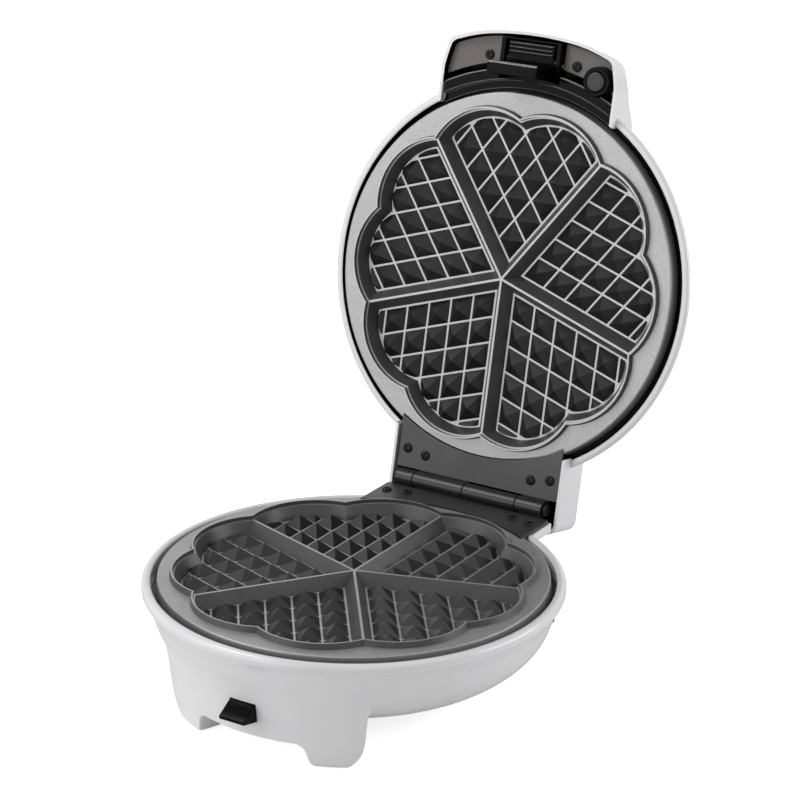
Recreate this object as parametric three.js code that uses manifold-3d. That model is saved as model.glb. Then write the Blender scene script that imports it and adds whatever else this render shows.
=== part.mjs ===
// Waffle maker with two interchangeable heart plates, a hinged lid and a latch on the handle.
// Millimetres, +Z up, +X to the right, -Y to the front (the handle side), +Y to the hinge.
// The model stands on its feet at Z = 0, with its lid open. Heights inside the base and the lid are
// measured from the mating plane, where the rims of the two plates meet when the lid is shut.
import * as THREE from 'three';
import { mergeVertices } from 'three/addons/utils/BufferGeometryUtils.js';
import Module from 'manifold-3d';

const wasm = await Module();
wasm.setup();

// Gaps, walls and cuts shared by every piece
const clearance = 0.3;
const overrun = 1.5;
const shellWall = 2.5;
const sheetMetal = 1;

// Mating plane, hinge line and the lid's opening
const matingHeight = 64;
const matingGap = 0.3;
const hingeReach = 9.7;
const lidOpenDegrees = 102;

// Heart plates
const lobeCentreRadius = 54;
const lobeSpreadDegrees = 18;
const lipInnerLobe = 35.3;
const lipWidth = 1.3;
const lipDraft = 0.7;
const pocketWallDraft = 3.5;
const lipHeight = 3;
const cavityDepth = 8.6;
const crestDepth = 2.1;
const crestHalfWidth = 0.6;
const dividerFootHalfWidth = 4.9;
const plateRingMargin = 6.2;
const plateRingBreak = 0.8;
const plateSkirtFlare = 0.8;
const plateSkirtDepth = 9.2;
const plateSkirtWall = 3;
const plateRingWall = 3.4;
const plateFloorWall = 2.4;
const hingeTrimWidth = 3.6;
const gridOffset = 5.42;
const gridPitch = 13.12;
const gridLineWidth = 1.1;
const pyramidHeight = 5;
const plateLugWidth = 12;
const plateLugLength = 2.4;
const plateLugDrop = 8;

// Base shell: rim, bowl and its bottom opening
const rimGap = 2.3;
const rimWidth = 4.7;
const baseRimTop = -4;
const bowlDepth = 52;
const bottomFlangeWidth = 11;
const rimShares = [[0, 0.43], [0, 0.13], [0.34, 0], [0.81, 0.13], [1, 0.51]];
const bowlShares = [
  [1, 0.154], [0.991, 0.185], [0.984, 0.196], [0.961, 0.308], [0.944, 0.423], [0.921, 0.538],
  [0.879, 0.654], [0.812, 0.769], [0.712, 0.875], [0.608, 0.971], [0.551, 1],
];
const bowlInnerShares = [[0.961, 0.308], [0.921, 0.538], [0.812, 0.769], [0.608, 0.971], [0.551, 1]];

// Front apron and its two feet
const apronDepth = 51.5;
const footInnerX = 27;
const footOuterX = 57.5;
const footDeep = 15;
const footSideLeanShare = 0.8;
const rubberPadHeight = 0.6;
const rubberPlugHeight = 6;
const apronShares = [
  [0.964, 0.219], [0.945, 0.328], [0.929, 0.406], [0.917, 0.547], [0.908, 0.688], [0.897, 0.844], [0.883, 1],
];
const footInnerShares = [[0, 0], [0.08, 0.16], [0.13, 0.5], [0.16, 0.84], [0.25, 1]];
const footOuterShares = [[0.62, 1], [0.72, 0.92], [0.82, 0.68], [0.9, 0.36], [0.96, -0.28], [1, -1.08]];

// Rear hinge shelf, neck and legs
const rearWall = 3;
const shelfSideWidth = 1;
const shelfReach = 7.1;
const shelfThickness = 5.2;
const neckHalfWidth = 40;
const legWidth = 20;
const legReach = 13.7;
const legDeep = 20;
const legShoulderReach = 4.7;
const legTopDepth = 27;
const legKneeDepth = 44;
const legArchDepth = 48;
const legRootInset = 33.3;
const rearFootHeight = 4;

// Bottom cover
const coverThickness = 2.5;
const coverEdge = 1;
const ventWidth = 3.4;
const ventPitch = 11;
const ventLength = 44;

// Heating: pans, elements and controls
const ledgeWidth = 3;
const ledgeThickness = 2.6;
const panThroatInset = 8;
const panTaper = 11;
const panDepth = 23;
const heaterRadius = 58;
const heaterTubeRadius = 3.25;
const heaterGapDegrees = 26;
const heaterTailLength = 14;
const thermostatRadius = 8;
const thermostatHeight = 7;
const fuseRadius = 3;
const fuseLength = 22;
const fuseY = 24;
const terminalWidth = 24;
const terminalDepth = 9;
const terminalHeight = 10;
const glandRadius = 6;
const glandFlangeRadius = 8.5;
const glandBore = 3.6;
const glandInside = 9;
const glandDepth = 30;

// Lid shell: dome, handle and tail
const lidRimHeight = 7;
const lidDomeHeight = 45.5;
const domeShares = [
  [1, 0.176], [0.998, 0.215], [0.978, 0.275], [0.963, 0.35], [0.93, 0.53],
  [0.909, 0.62], [0.878, 0.71], [0.83, 0.8], [0.755, 0.875], [0.63, 0.935], [0.46, 0.972], [0.24, 0.993],
];
const domeInnerShares = [[0.963, 0.35], [0.909, 0.62], [0.83, 0.8], [0.63, 0.935], [0.24, 0.993]];
const edgeWall = 1.6;
const sideDraftShare = 0.036;
const frontDraftShare = 0.2;
const handleHalfWidth = 51.6;
const handleCornerReach = 13.1;
const handleFrontReach = 23.7;
const handleEdgeHeight = 3;
const handleTipHeight = 11.5;
const handleCornerHeight = 15;
const handleNeckHeight = 19.5;
const handleRootHeight = 27;
const handleRootInset = 18.1;
const handleBowShares = [[0.93, 0.2], [0.8, 0.48], [0.6, 0.75], [0.33, 0.93], [0, 1]];
const tailSideWidth = 2.6;
const tailReach = 22.5;
const tailEdgeHeight = 0.8;
const tailHeight = 23.5;
const tailRound = 6;

// Inner parts of the lid's front: band, cover plates, lamps
const bandInset = 1;
const bandStep = 4.2;
const bandWidth = 10.4;
const bandLowHeight = 7;
const bandHighHeight = 4.4;
const bandThickness = 2;
const coverPlateHeight = 6.8;
const coverPlateThickness = 2;
const coverPlateGap = 3.4;
const coverScrewX = 25.8;
const coverScrewReach = 9.3;
const lampRadius = 3.2;
const lampSpacing = 16;
const lampInset = 29.3;
const lampProud = 0.8;
const lampDepth = 5;

// Hinge: leaves, knuckles, pin
const leafThickness = 2;
const leafGap = 0.6;
const leafReach = 1.2;
const leafHalfWidth = 49;
const barrelRadius = 4.6;
const pinRadius = 2.1;
const pinHeadRadius = 3.4;
const pinHeadLength = 1.6;
const knuckleEndShares = [-0.939, -0.714, -0.082, 0.571, 0.898];
const innerScrewX = 32.3;
const innerScrewInset = 3.7;
const outerScrewX = 43.6;
const outerScrewInset = 5.7;

// Screws
const screwHeadRadius = 2.7;
const screwHeadHeight = 1.2;
const screwShankRadius = 1.3;
const screwLength = 6;
const driveRadius = 1.5;
const driveDepth = 0.7;

// Latch on the handle
const latchPinReach = 8.3;
const latchPinHeight = 7.4;
const latchPinRadius = 1.5;
const latchHubRadius = 3.4;
const latchHalfWidth = 14.5;
const thumbHalfWidth = 13.5;
const thumbFrontReach = 18.1;
const thumbLow = 3.6;
const thumbHigh = 8;
const ribCount = 4;
const ribHeight = 0.7;
const hookFrontReach = 7.6;
const hookRearReach = 1;
const hookDrop = 15.6;
const hookNoseHeight = 3.4;
const hookWall = 2.6;
const housingWall = 2.6;
const housingRail = 0.9;
const housingRearReach = 2.7;
const housingLow = 2.6;
const housingHigh = 12;
const latchSpringRadius = 2.7;
const latchSpringHalf = 4.5;

// Front release button
const buttonWidth = 14.5;
const buttonTopRise = 18.2;
const buttonHeight = 9.4;
const buttonProud = 9.2;
const buttonFrontShares = [0.58, 0.76];
const buttonSink = 6;
const buttonFaceShare = 0.917;
const buttonStemWidth = 9;
const buttonStemHeight = 6;
const buttonStemInset = 24.9;
const buttonTravel = 3;
const catchThickness = 2.2;
const catchTopDepth = 15.4;
const springRadius = 2.6;
const springBore = 1.5;
const frontSpringLength = 9;
const seatWall = 2;

// Round release button in the lid
const roundButtonX = 40.6;
const roundButtonReach = 3.3;
const roundButtonRadius = 5;
const roundButtonFace = -0.4;
const roundButtonLength = 8;
const roundButtonEdge = 0.8;
const roundHousingWall = 2.3;
const roundHousingFace = 0.8;
const lidSpringLength = 3.2;

// Counts of facets and steps round the turned and swept shapes
const shellFacets = 48;
const bandFacets = 72;
const panFacets = 32;
const lobeFacets = 24;
const barrelFacets = 16;
const smallFacets = 10;
const driveFacets = 4;
const heaterFacets = 6;
const heaterSteps = 40;

const heartAngles = [36, 108, 180, 252, 324];
const halfHeart = heartAngles[0];
const radians = (degrees) => (degrees * Math.PI) / 180;

// Sizes that follow from the ones above
const lipOuterLobe = lipInnerLobe + lipWidth;
const lipFootLobe = lipOuterLobe + lipDraft;
const plateRingRadius = lobeCentreRadius + lipFootLobe + plateRingMargin;
const floorLobe = lipInnerLobe - pocketWallDraft;
const plateBackHeight = cavityDepth + plateFloorWall;
const plateSkirtRadius = plateRingRadius + plateSkirtFlare;
const plateTrimRadius = plateSkirtRadius - hingeTrimWidth;
const rimInnerRadius = plateSkirtRadius + rimGap;
const rimRadius = rimInnerRadius + rimWidth;
const flangeDepth = plateSkirtDepth + matingGap / 2 + clearance;
const ledgeDepth = flangeDepth + sheetMetal + clearance;
const flangeRadius = rimInnerRadius - clearance;
const ledgeRadius = rimInnerRadius - ledgeWidth;
const hingeAxisY = rimRadius + hingeReach;
const shelfRearY = rimRadius + shelfReach;
const legRearY = rimRadius + legReach;
const legShoulderY = rimRadius + legShoulderReach;
const legRootY = rimRadius - legRootInset;
const handleCornerY = rimRadius + handleCornerReach;
const handleFrontY = rimRadius + handleFrontReach;
const handleRootY = rimRadius - handleRootInset;
const tailRearY = rimRadius + tailReach;
const coverScrewY = rimRadius + coverScrewReach;
const lampRadialPlace = rimRadius - lampInset;
const leafRearY = rimRadius + leafReach;
const innerScrewY = rimRadius - innerScrewInset;
const outerScrewY = rimRadius - outerScrewInset;
const latchPinY = rimRadius + latchPinReach;
const shelfHalfWidth = leafHalfWidth + shelfSideWidth;
const tailHalfWidth = leafHalfWidth + tailSideWidth;
const thumbFrontY = rimRadius + thumbFrontReach;
const hookFrontY = rimRadius + hookFrontReach;
const hookRearY = rimRadius + hookRearReach;
const housingRearY = rimRadius + housingRearReach;
const roundButtonY = rimRadius + roundButtonReach;
const buttonStemInnerY = rimRadius - buttonStemInset;
const bowlFloorRadius = bowlShares[bowlShares.length - 1][0] * rimRadius;
const coverHoleRadius = bowlFloorRadius - bottomFlangeWidth;
const coverScrewCircle = bowlFloorRadius - bottomFlangeWidth / 2;
const leafOffset = barrelRadius - leafThickness;
const shelfTop = -(barrelRadius + clearance);
const buttonTopDepth = bowlDepth - buttonTopRise;
const buttonBottomDepth = buttonTopDepth + buttonHeight;
const buttonStemDepth = (buttonTopDepth + buttonBottomDepth) / 2;
const buttonCatchY = buttonStemInnerY + catchThickness;
const screwBore = screwShankRadius + clearance;
const knuckleEnds = knuckleEndShares.map((share) => share * leafHalfWidth);
const latchRoomHalf = latchHalfWidth + 2 * clearance + housingWall;
const bandInnerRadius = rimInnerRadius - bandInset;
const bandOuterRadius = bandInnerRadius + bandWidth;
const coverPlateTop = coverPlateHeight + coverPlateThickness;
const roundHousingRadius = roundButtonRadius + roundHousingWall + clearance;
const heaterHeight = plateBackHeight + matingGap / 2 + clearance + heaterTubeRadius;
const heaterEndX = heaterRadius * Math.sin(radians(heaterGapDegrees / 2));
const heaterEndY = heaterRadius * Math.cos(radians(heaterGapDegrees / 2));

// Materials
function plasticWhite() {
  return new THREE.MeshStandardMaterial({ color: 0xe9e9ea, roughness: 0.28, metalness: 0 });
}

function plasticBlack() {
  return new THREE.MeshStandardMaterial({ color: 0x141415, roughness: 0.22, metalness: 0 });
}

function plasticTaupe() {
  return new THREE.MeshStandardMaterial({ color: 0x706a66, roughness: 0.5, metalness: 0 });
}

function plasticGrey() {
  return new THREE.MeshStandardMaterial({ color: 0x55565a, roughness: 0.35, metalness: 0 });
}

function nonStick() {
  return new THREE.MeshStandardMaterial({ color: 0x6a6a6c, roughness: 0.5, metalness: 0.3 });
}

function hingeSteel() {
  return new THREE.MeshStandardMaterial({ color: 0x3c3c3f, roughness: 0.42, metalness: 0.6 });
}

function aluminiumSheet() {
  return new THREE.MeshStandardMaterial({ color: 0xc9cacc, roughness: 0.3, metalness: 1 });
}

function steelBright() {
  return new THREE.MeshStandardMaterial({ color: 0xb4b6b9, roughness: 0.25, metalness: 1 });
}

function steelBlack() {
  return new THREE.MeshStandardMaterial({ color: 0x222224, roughness: 0.4, metalness: 0.8 });
}

function rubberBlack() {
  return new THREE.MeshStandardMaterial({ color: 0x1b1b1c, roughness: 0.8, metalness: 0 });
}

function ceramicWhite() {
  return new THREE.MeshStandardMaterial({ color: 0xdedad0, roughness: 0.6, metalness: 0 });
}

function lampRed() {
  return new THREE.MeshStandardMaterial({ color: 0xb3201c, roughness: 0.15, metalness: 0 });
}

function lampGreen() {
  return new THREE.MeshStandardMaterial({ color: 0x1f8a3c, roughness: 0.15, metalness: 0 });
}

// Closed geometry to a solid that can be joined and cut. Geometry may come in wound either way.
function toSolid(geometry) {
  const bare = new THREE.BufferGeometry();
  bare.setAttribute('position', geometry.getAttribute('position').clone());
  if (geometry.index) bare.setIndex(geometry.index.clone());
  const merged = mergeVertices(bare);
  const position = merged.getAttribute('position');
  const triangles = [];
  let volume = 0;
  const a = new THREE.Vector3();
  const b = new THREE.Vector3();
  const c = new THREE.Vector3();
  for (let i = 0; i < merged.index.count; i += 3) {
    const [p, q, r] = [0, 1, 2].map((k) => merged.index.getX(i + k));
    if (p === q || q === r || r === p) continue;
    triangles.push([p, q, r]);
    a.fromBufferAttribute(position, p);
    b.fromBufferAttribute(position, q);
    c.fromBufferAttribute(position, r);
    volume += a.dot(b.cross(c));
  }
  const ordered = volume < 0 ? triangles.map(([p, q, r]) => [p, r, q]) : triangles;
  const mesh = new wasm.Mesh({
    numProp: 3,
    vertProperties: new Float32Array(position.array),
    triVerts: new Uint32Array(ordered.flat()),
  });
  return new wasm.Manifold(mesh);
}

// Solid back to geometry.
function toGeometry(solid) {
  const mesh = solid.getMesh();
  const geometry = new THREE.BufferGeometry();
  geometry.setAttribute('position', new THREE.BufferAttribute(mesh.vertProperties, 3));
  geometry.setIndex(new THREE.BufferAttribute(mesh.triVerts, 1));
  geometry.computeVertexNormals();
  return geometry;
}

function piece(name, solid, material) {
  const mesh = new THREE.Mesh(toGeometry(solid), material);
  mesh.name = name;
  return mesh;
}

function joined(solids) {
  return solids.reduce((whole, next) => whole.add(next));
}

// Box between two opposite corners.
function box(x0, x1, y0, y1, z0, z1) {
  const geometry = new THREE.BoxGeometry(x1 - x0, y1 - y0, z1 - z0);
  geometry.translate((x0 + x1) / 2, (y0 + y1) / 2, (z0 + z1) / 2);
  return toSolid(geometry);
}

// Upright cone from z0 to z1.
function cone(x, y, z0, z1, lowRadius, highRadius, facets = smallFacets) {
  const geometry = new THREE.CylinderGeometry(highRadius, lowRadius, z1 - z0, facets);
  geometry.rotateX(Math.PI / 2);
  geometry.translate(x, y, (z0 + z1) / 2);
  return toSolid(geometry);
}

// Upright cylinder from z0 to z1.
function disc(x, y, z0, z1, radius, facets = smallFacets) {
  return cone(x, y, z0, z1, radius, radius, facets);
}

// Cylinder along X.
function rod(x0, x1, y, z, radius, facets = smallFacets) {
  const geometry = new THREE.CylinderGeometry(radius, radius, x1 - x0, facets);
  geometry.rotateZ(Math.PI / 2);
  geometry.translate((x0 + x1) / 2, y, z);
  return toSolid(geometry);
}

// Cylinder along Y.
function bar(x, y0, y1, z, radius, facets = smallFacets) {
  const geometry = new THREE.CylinderGeometry(radius, radius, y1 - y0, facets);
  geometry.translate(x, (y0 + y1) / 2, z);
  return toSolid(geometry);
}

// Closed [radius, z] outline turned about the upright axis.
function turned(outline, facets = shellFacets) {
  const closed = [...outline, outline[0]];
  const points = closed.map(([radius, z]) => new THREE.Vector2(radius, z));
  const geometry = new THREE.LatheGeometry(points, facets);
  geometry.rotateX(Math.PI / 2);
  return toSolid(geometry);
}

// [y, z] outline run along X from x0 to x1.
function sideways(outline, x0, x1) {
  const shape = new THREE.Shape(outline.map(([y, z]) => new THREE.Vector2(y, z)));
  const geometry = new THREE.ExtrudeGeometry(shape, { depth: x1 - x0, bevelEnabled: false });
  geometry.applyMatrix4(new THREE.Matrix4().set(0, 0, 1, x0, 1, 0, 0, 0, 0, 1, 0, 0, 0, 0, 0, 1));
  return toSolid(geometry);
}

// [x, z] outline run along Y from y0 to y1. It may lean sideways as it runs, by a share of the
// distance from the place where it keeps its own x.
function fronted(outline, y0, y1, lean = 0, place = y0) {
  const shape = new THREE.Shape(outline.map(([x, z]) => new THREE.Vector2(x, z)));
  const geometry = new THREE.ExtrudeGeometry(shape, { depth: y1 - y0, bevelEnabled: false });
  const start = lean * (y0 - place);
  geometry.applyMatrix4(new THREE.Matrix4().set(1, 0, lean, start, 0, 0, 1, y0, 0, 1, 0, 0, 0, 0, 0, 1));
  return toSolid(geometry);
}

// Solid between two convex [x, y] outlines with as many points, at two heights.
function loft(lowOutline, z0, highOutline, z1) {
  const count = lowOutline.length;
  const positions = [];
  lowOutline.forEach(([x, y]) => positions.push(x, y, z0));
  highOutline.forEach(([x, y]) => positions.push(x, y, z1));
  const index = [];
  for (let i = 1; i < count - 1; i += 1) {
    index.push(0, i + 1, i);
    index.push(count, count + i, count + i + 1);
  }
  for (let i = 0; i < count; i += 1) {
    const next = (i + 1) % count;
    index.push(i, next, count + next);
    index.push(i, count + next, count + i);
  }
  const geometry = new THREE.BufferGeometry();
  geometry.setAttribute('position', new THREE.Float32BufferAttribute(positions, 3));
  geometry.setIndex(index);
  return toSolid(geometry);
}

// Pyramid on a four-sided [x, y] outline at z0, with a straight footing below it down to footing.
function pyramid(outline, footing, z0, apex, z1) {
  const positions = [];
  outline.forEach(([x, y]) => positions.push(x, y, footing));
  outline.forEach(([x, y]) => positions.push(x, y, z0));
  positions.push(apex[0], apex[1], z1);
  const count = outline.length;
  const tip = 2 * count;
  const index = [0, 2, 1, 0, 3, 2];
  for (let i = 0; i < count; i += 1) {
    const next = (i + 1) % count;
    index.push(i, next, count + next);
    index.push(i, count + next, count + i);
    index.push(count + i, count + next, tip);
  }
  const geometry = new THREE.BufferGeometry();
  geometry.setAttribute('position', new THREE.Float32BufferAttribute(positions, 3));
  geometry.setIndex(index);
  return toSolid(geometry);
}

// Open outline moved sideways by a distance, to the left of its direction of travel.
function beside(outline, distance) {
  return outline.map((point, i) => {
    const before = outline[Math.max(i - 1, 0)];
    const after = outline[Math.min(i + 1, outline.length - 1)];
    const along = new THREE.Vector2(after[0] - before[0], after[1] - before[1]).normalize();
    return [point[0] - along.y * distance, point[1] + along.x * distance];
  });
}

// Point at an angle counted from +Y towards +X.
function polar(radius, degrees) {
  return [radius * Math.sin(radians(degrees)), radius * Math.cos(radians(degrees))];
}

function mirroredOutline(outline) {
  return outline.map(([x, y]) => [-x, y]).reverse();
}

// The same plate or pan for the base is the mirror image through the mating plane.
function mirrored(solid) {
  const geometry = toGeometry(solid);
  geometry.scale(1, 1, -1);
  return toSolid(geometry);
}

// Heart plate with the top of its lip on the mating plane and its back above.
// The two round lobes of each heart lie the same angle to either side of the heart's axis.
function lobeAngles(heart) {
  return [heart - lobeSpreadDegrees, heart + lobeSpreadDegrees];
}

function lobeCones(hearts, z0, z1, lowRadius, highRadius) {
  return joined(hearts.flatMap(lobeAngles).map((angle) => {
    const [x, y] = polar(lobeCentreRadius, angle);
    return cone(x, y, z0, z1, lowRadius, highRadius, lobeFacets);
  }));
}

function plateMiddle(z0, z1) {
  return disc(0, 0, z0, z1, lobeCentreRadius, lobeFacets);
}

// Triangle between the two dividers beside a heart, drawn in from both by a margin.
function heartWedge(heart, margin) {
  const [tipX, tipY] = polar(margin / Math.sin(radians(halfHeart)), heart);
  const reach = 2 * plateSkirtRadius;
  const [leftX, leftY] = polar(reach, heart - halfHeart);
  const [rightX, rightY] = polar(reach, heart + halfHeart);
  return [[tipX, tipY], [tipX + leftX, tipY + leftY], [tipX + rightX, tipY + rightY]];
}

function heartPocket(heart) {
  const draft = pocketWallDraft / cavityDepth;
  const round = lobeCones([heart], -overrun, cavityDepth, lipInnerLobe + draft * overrun, floorLobe)
    .add(plateMiddle(-overrun, cavityDepth));
  const slope = (dividerFootHalfWidth - crestHalfWidth) / (cavityDepth - crestDepth);
  const topMargin = crestHalfWidth - slope * (crestDepth + overrun);
  const wedge = loft(
    heartWedge(heart, topMargin), -overrun,
    heartWedge(heart, dividerFootHalfWidth), cavityDepth,
  );
  return round.intersect(wedge);
}

// Rhombic pyramids on the floor of one heart, in rows along its two dividers.
function heartPyramids(heart) {
  const slant = Math.sin(radians(2 * halfHeart));
  const step = gridPitch / slant;
  const start = gridOffset / slant;
  const half = (gridPitch - gridLineWidth) / slant / 2;
  const root = cavityDepth + plateFloorWall / 2;
  const tip = cavityDepth - pyramidHeight;
  const [ax, ay] = polar(1, heart + halfHeart);
  const [bx, by] = polar(1, heart - halfHeart);
  const corner = (a, b) => [a * ax + b * bx, a * ay + b * by];
  const rows = Math.ceil((plateRingRadius - start) / step);
  const cells = [];
  for (let i = 0; i < rows; i += 1) {
    for (let j = 0; j < rows; j += 1) {
      const a = start + (i + 1 / 2) * step;
      const b = start + (j + 1 / 2) * step;
      const [x, y] = corner(a, b);
      if (Math.hypot(x, y) > lobeCentreRadius + lipInnerLobe) continue;
      const outline = [
        corner(a - half, b - half), corner(a + half, b - half),
        corner(a + half, b + half), corner(a - half, b + half),
      ];
      cells.push(pyramid(outline, root, cavityDepth, [x, y], tip));
    }
  }
  const edge = floorLobe - gridLineWidth;
  const round = lobeCones([heart], tip - overrun, root + overrun, edge, edge)
    .add(plateMiddle(tip - overrun, root + overrun));
  return joined(cells).intersect(round);
}

// Flat lug behind the front of the plate, which the release catch holds.
function plateLug() {
  const innerY = buttonCatchY + clearance;
  return box(
    -plateLugWidth / 2, plateLugWidth / 2, -innerY - plateLugLength, -innerY,
    plateBackHeight - plateFloorWall, plateBackHeight + plateLugDrop,
  );
}

// Straight cut along the plate's ring that makes room for the hinge.
function plateTrim() {
  const half = leafHalfWidth - clearance;
  const block = box(
    -half, half, 0, plateSkirtRadius + overrun, lipHeight - overrun, plateSkirtDepth + overrun,
  );
  return block.subtract(disc(0, 0, 0, plateSkirtDepth + 2 * overrun, plateTrimRadius, shellFacets));
}

function heartPlate() {
  const underRing = lipHeight + plateRingWall;
  const skirtInner = plateSkirtRadius - plateSkirtWall;
  const floorEdge = lobeCentreRadius + lipInnerLobe;
  const ring = turned([
    [0, lipHeight], [plateRingRadius - plateRingBreak, lipHeight],
    [plateRingRadius, lipHeight + plateRingBreak], [plateSkirtRadius, plateSkirtDepth],
    [skirtInner, plateSkirtDepth], [skirtInner, underRing], [floorEdge, underRing],
    [floorEdge - plateFloorWall, plateBackHeight], [0, plateBackHeight],
  ]);
  const lip = lobeCones(heartAngles, 0, lipHeight + plateRingBreak, lipOuterLobe, lipFootLobe)
    .add(plateMiddle(0, lipHeight + plateRingBreak));
  const crest = lobeCones(heartAngles, -overrun, crestDepth, lipInnerLobe, lipInnerLobe)
    .add(plateMiddle(-overrun, crestDepth));
  return ring.add(lip)
    .subtract(crest)
    .subtract(joined(heartAngles.map(heartPocket)))
    .add(joined(heartAngles.map(heartPyramids)))
    .subtract(plateTrim())
    .add(plateLug());
}

// Base shell: bowl with a rolled rim, front apron on two feet, rear shelf, neck and legs.
function bowlOutside() {
  const rim = rimShares.map(([across, down]) => [
    rimInnerRadius + across * rimWidth, baseRimTop - down * rimWidth,
  ]);
  const side = bowlShares.map(([radius, depth]) => [radius * rimRadius, -depth * bowlDepth]);
  return [...rim, ...side];
}

// Inside of the bowl, from under the ledge to the edge of the floor.
function bowlInside(wall) {
  const outside = bowlInnerShares.map(([radius, depth]) => [radius * rimRadius, -depth * bowlDepth]);
  const inside = beside(outside, -wall);
  inside[inside.length - 1] = [bowlFloorRadius, -bowlDepth + wall];
  return inside;
}

function bowl() {
  const inside = bowlInside(shellWall).reverse();
  return turned([
    ...bowlOutside(), [coverHoleRadius, -bowlDepth], [coverHoleRadius, -bowlDepth + shellWall],
    ...inside, [ledgeRadius, -ledgeDepth - ledgeThickness], [ledgeRadius, -ledgeDepth],
    [rimInnerRadius, -ledgeDepth],
  ]);
}

// Space that the apron, feet and legs keep out of: the bowl's inside and half its wall.
function bowlCore() {
  const half = shellWall / 2;
  return turned([
    [0, overrun], [rimInnerRadius + half, overrun], [rimInnerRadius + half, -ledgeDepth],
    ...bowlInside(half), [0, -bowlDepth + half],
  ]);
}

function apronOutside() {
  return apronShares.map(([radius, depth]) => [radius * rimRadius, -depth * matingHeight]);
}

// Lower edge of the right half from the front: arch, inner side of the foot, ground, outer side.
function footEdge(shares, inset, bottom) {
  const wide = footOuterX - footInnerX;
  const deep = matingHeight - apronDepth;
  return shares.map(([across, down]) => [
    footInnerX + across * wide + inset, Math.max(-apronDepth - down * deep, bottom),
  ]);
}

// Everything outside the inner sides of both feet, up to a level.
function besideArch(inset, bottom, high) {
  const inner = footEdge(footInnerShares, inset, bottom);
  const right = [[inner[0][0], high], ...inner, [rimRadius, bottom], [rimRadius, high]];
  const reach = -rimRadius - overrun;
  return fronted(right, reach, 0).add(fronted(mirroredOutline(right), reach, 0));
}

// Everything between the outer sides of the feet, which lean towards the axis behind the apron.
function withinFeet(inset, bottom, high) {
  const outer = footEdge(footOuterShares, -inset, bottom);
  const right = [[-rimRadius, bottom], ...outer, [footOuterX - inset, high], [-rimRadius, high]];
  const place = -Math.sqrt(apronOutside()[4][0] ** 2 - footOuterX ** 2);
  const reach = -rimRadius - overrun;
  return fronted(right, reach, 0, -footSideLeanShare, place)
    .intersect(fronted(mirroredOutline(right), reach, 0, footSideLeanShare, place));
}

// Height of one point of the apron's outline.
function apronLevel(i) {
  return apronOutside()[i][1];
}

function apron() {
  const outside = apronOutside();
  const ring = turned([...outside, ...beside(outside, -shellWall).reverse()]);
  const top = apronLevel(0);
  const arch = box(-footInnerX - overrun, footInnerX + overrun, -rimRadius, 0, -apronDepth, top);
  return ring.intersect(withinFeet(0, -matingHeight, top))
    .intersect(besideArch(0, -matingHeight, top).add(arch));
}

// Blocks behind both ends of the apron, drawn in by an inset, from a low to a high level.
function footBlocks(inset, low, high) {
  const outside = inset === 0 ? apronOutside() : beside(apronOutside(), -inset);
  const last = outside[outside.length - 1];
  const kept = outside.slice(1);
  const rear = last[0] - footDeep + 2 * inset;
  const body = turned([...kept, [last[0], low], [rear, low], [rear, kept[0][1]]]);
  return body.intersect(besideArch(inset, low, high)).intersect(withinFeet(inset, low, high));
}

function hingeShelf() {
  return box(
    -shelfHalfWidth, shelfHalfWidth, legRootY, shelfRearY, shelfTop - shelfThickness, shelfTop,
  );
}

function neck(inset) {
  const side = [
    [legRootY, shelfTop - shelfThickness + inset], [shelfRearY - inset, shelfTop - shelfThickness + inset],
    [shelfRearY - inset, -legArchDepth - inset], [legRootY, -legArchDepth - inset],
  ];
  return sideways(side, -neckHalfWidth + inset, neckHalfWidth - inset);
}

// Two rear legs, drawn in by an inset and open below where they are drawn in.
function legs(inset) {
  const bottom = inset === 0 ? -matingHeight + rearFootHeight : -matingHeight;
  const rear = legRearY - inset;
  const front = legRearY - legDeep + inset;
  const side = [
    [legRootY, -legArchDepth + inset], [legRootY + legDeep / 2, -legTopDepth - inset],
    [legShoulderY - inset, -legTopDepth - inset], [rear, -legKneeDepth], [rear, bottom], [front, bottom],
    [front, -legArchDepth + inset],
  ];
  const outer = shelfHalfWidth - inset;
  const inner = shelfHalfWidth - legWidth + inset;
  return sideways(side, inner, outer).add(sideways(side, -outer, -inner));
}

// Boss inside the bowl that guides the front button's spring.
function springSeatY() {
  return -buttonStemInnerY + frontSpringLength + 2 * clearance;
}

function springSeat() {
  const half = springRadius + seatWall;
  return box(
    -half, half, springSeatY(), springSeatY() + buttonTravel + clearance + seatWall,
    -bowlDepth + 2 * shellWall, -buttonStemDepth + half,
  );
}

function springSeatBore() {
  return bar(
    0, -buttonStemInnerY, springSeatY() + buttonTravel + clearance, -buttonStemDepth,
    springRadius + clearance,
  );
}

// Openings for the front button: one its own size in the apron, one for its stem in the bowl.
function buttonOpenings() {
  const half = buttonWidth / 2 + clearance;
  const stemHalf = buttonStemWidth / 2 + clearance;
  const face = buttonFaceY();
  const wide = box(
    -half, half, -rimRadius, -face + buttonSink + buttonTravel + clearance,
    -buttonBottomDepth - clearance, -buttonTopDepth + clearance,
  );
  const narrow = box(
    -stemHalf, stemHalf, -rimRadius, -buttonStemInnerY + buttonTravel + clearance,
    -buttonStemDepth - buttonStemHeight / 2 - clearance, -buttonStemDepth + buttonStemHeight / 2 + clearance,
  );
  return wide.add(narrow);
}

function buttonFaceY() {
  return buttonFaceShare * rimRadius;
}

function coverScrewPlaces() {
  const diagonal = coverScrewCircle * Math.SQRT1_2;
  return [[diagonal, diagonal], [-diagonal, diagonal], [-diagonal, -diagonal], [diagonal, -diagonal]];
}

function leafScrewPlaces() {
  return [
    [-outerScrewX, outerScrewY], [-innerScrewX, innerScrewY],
    [innerScrewX, innerScrewY], [outerScrewX, outerScrewY],
  ];
}

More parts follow.
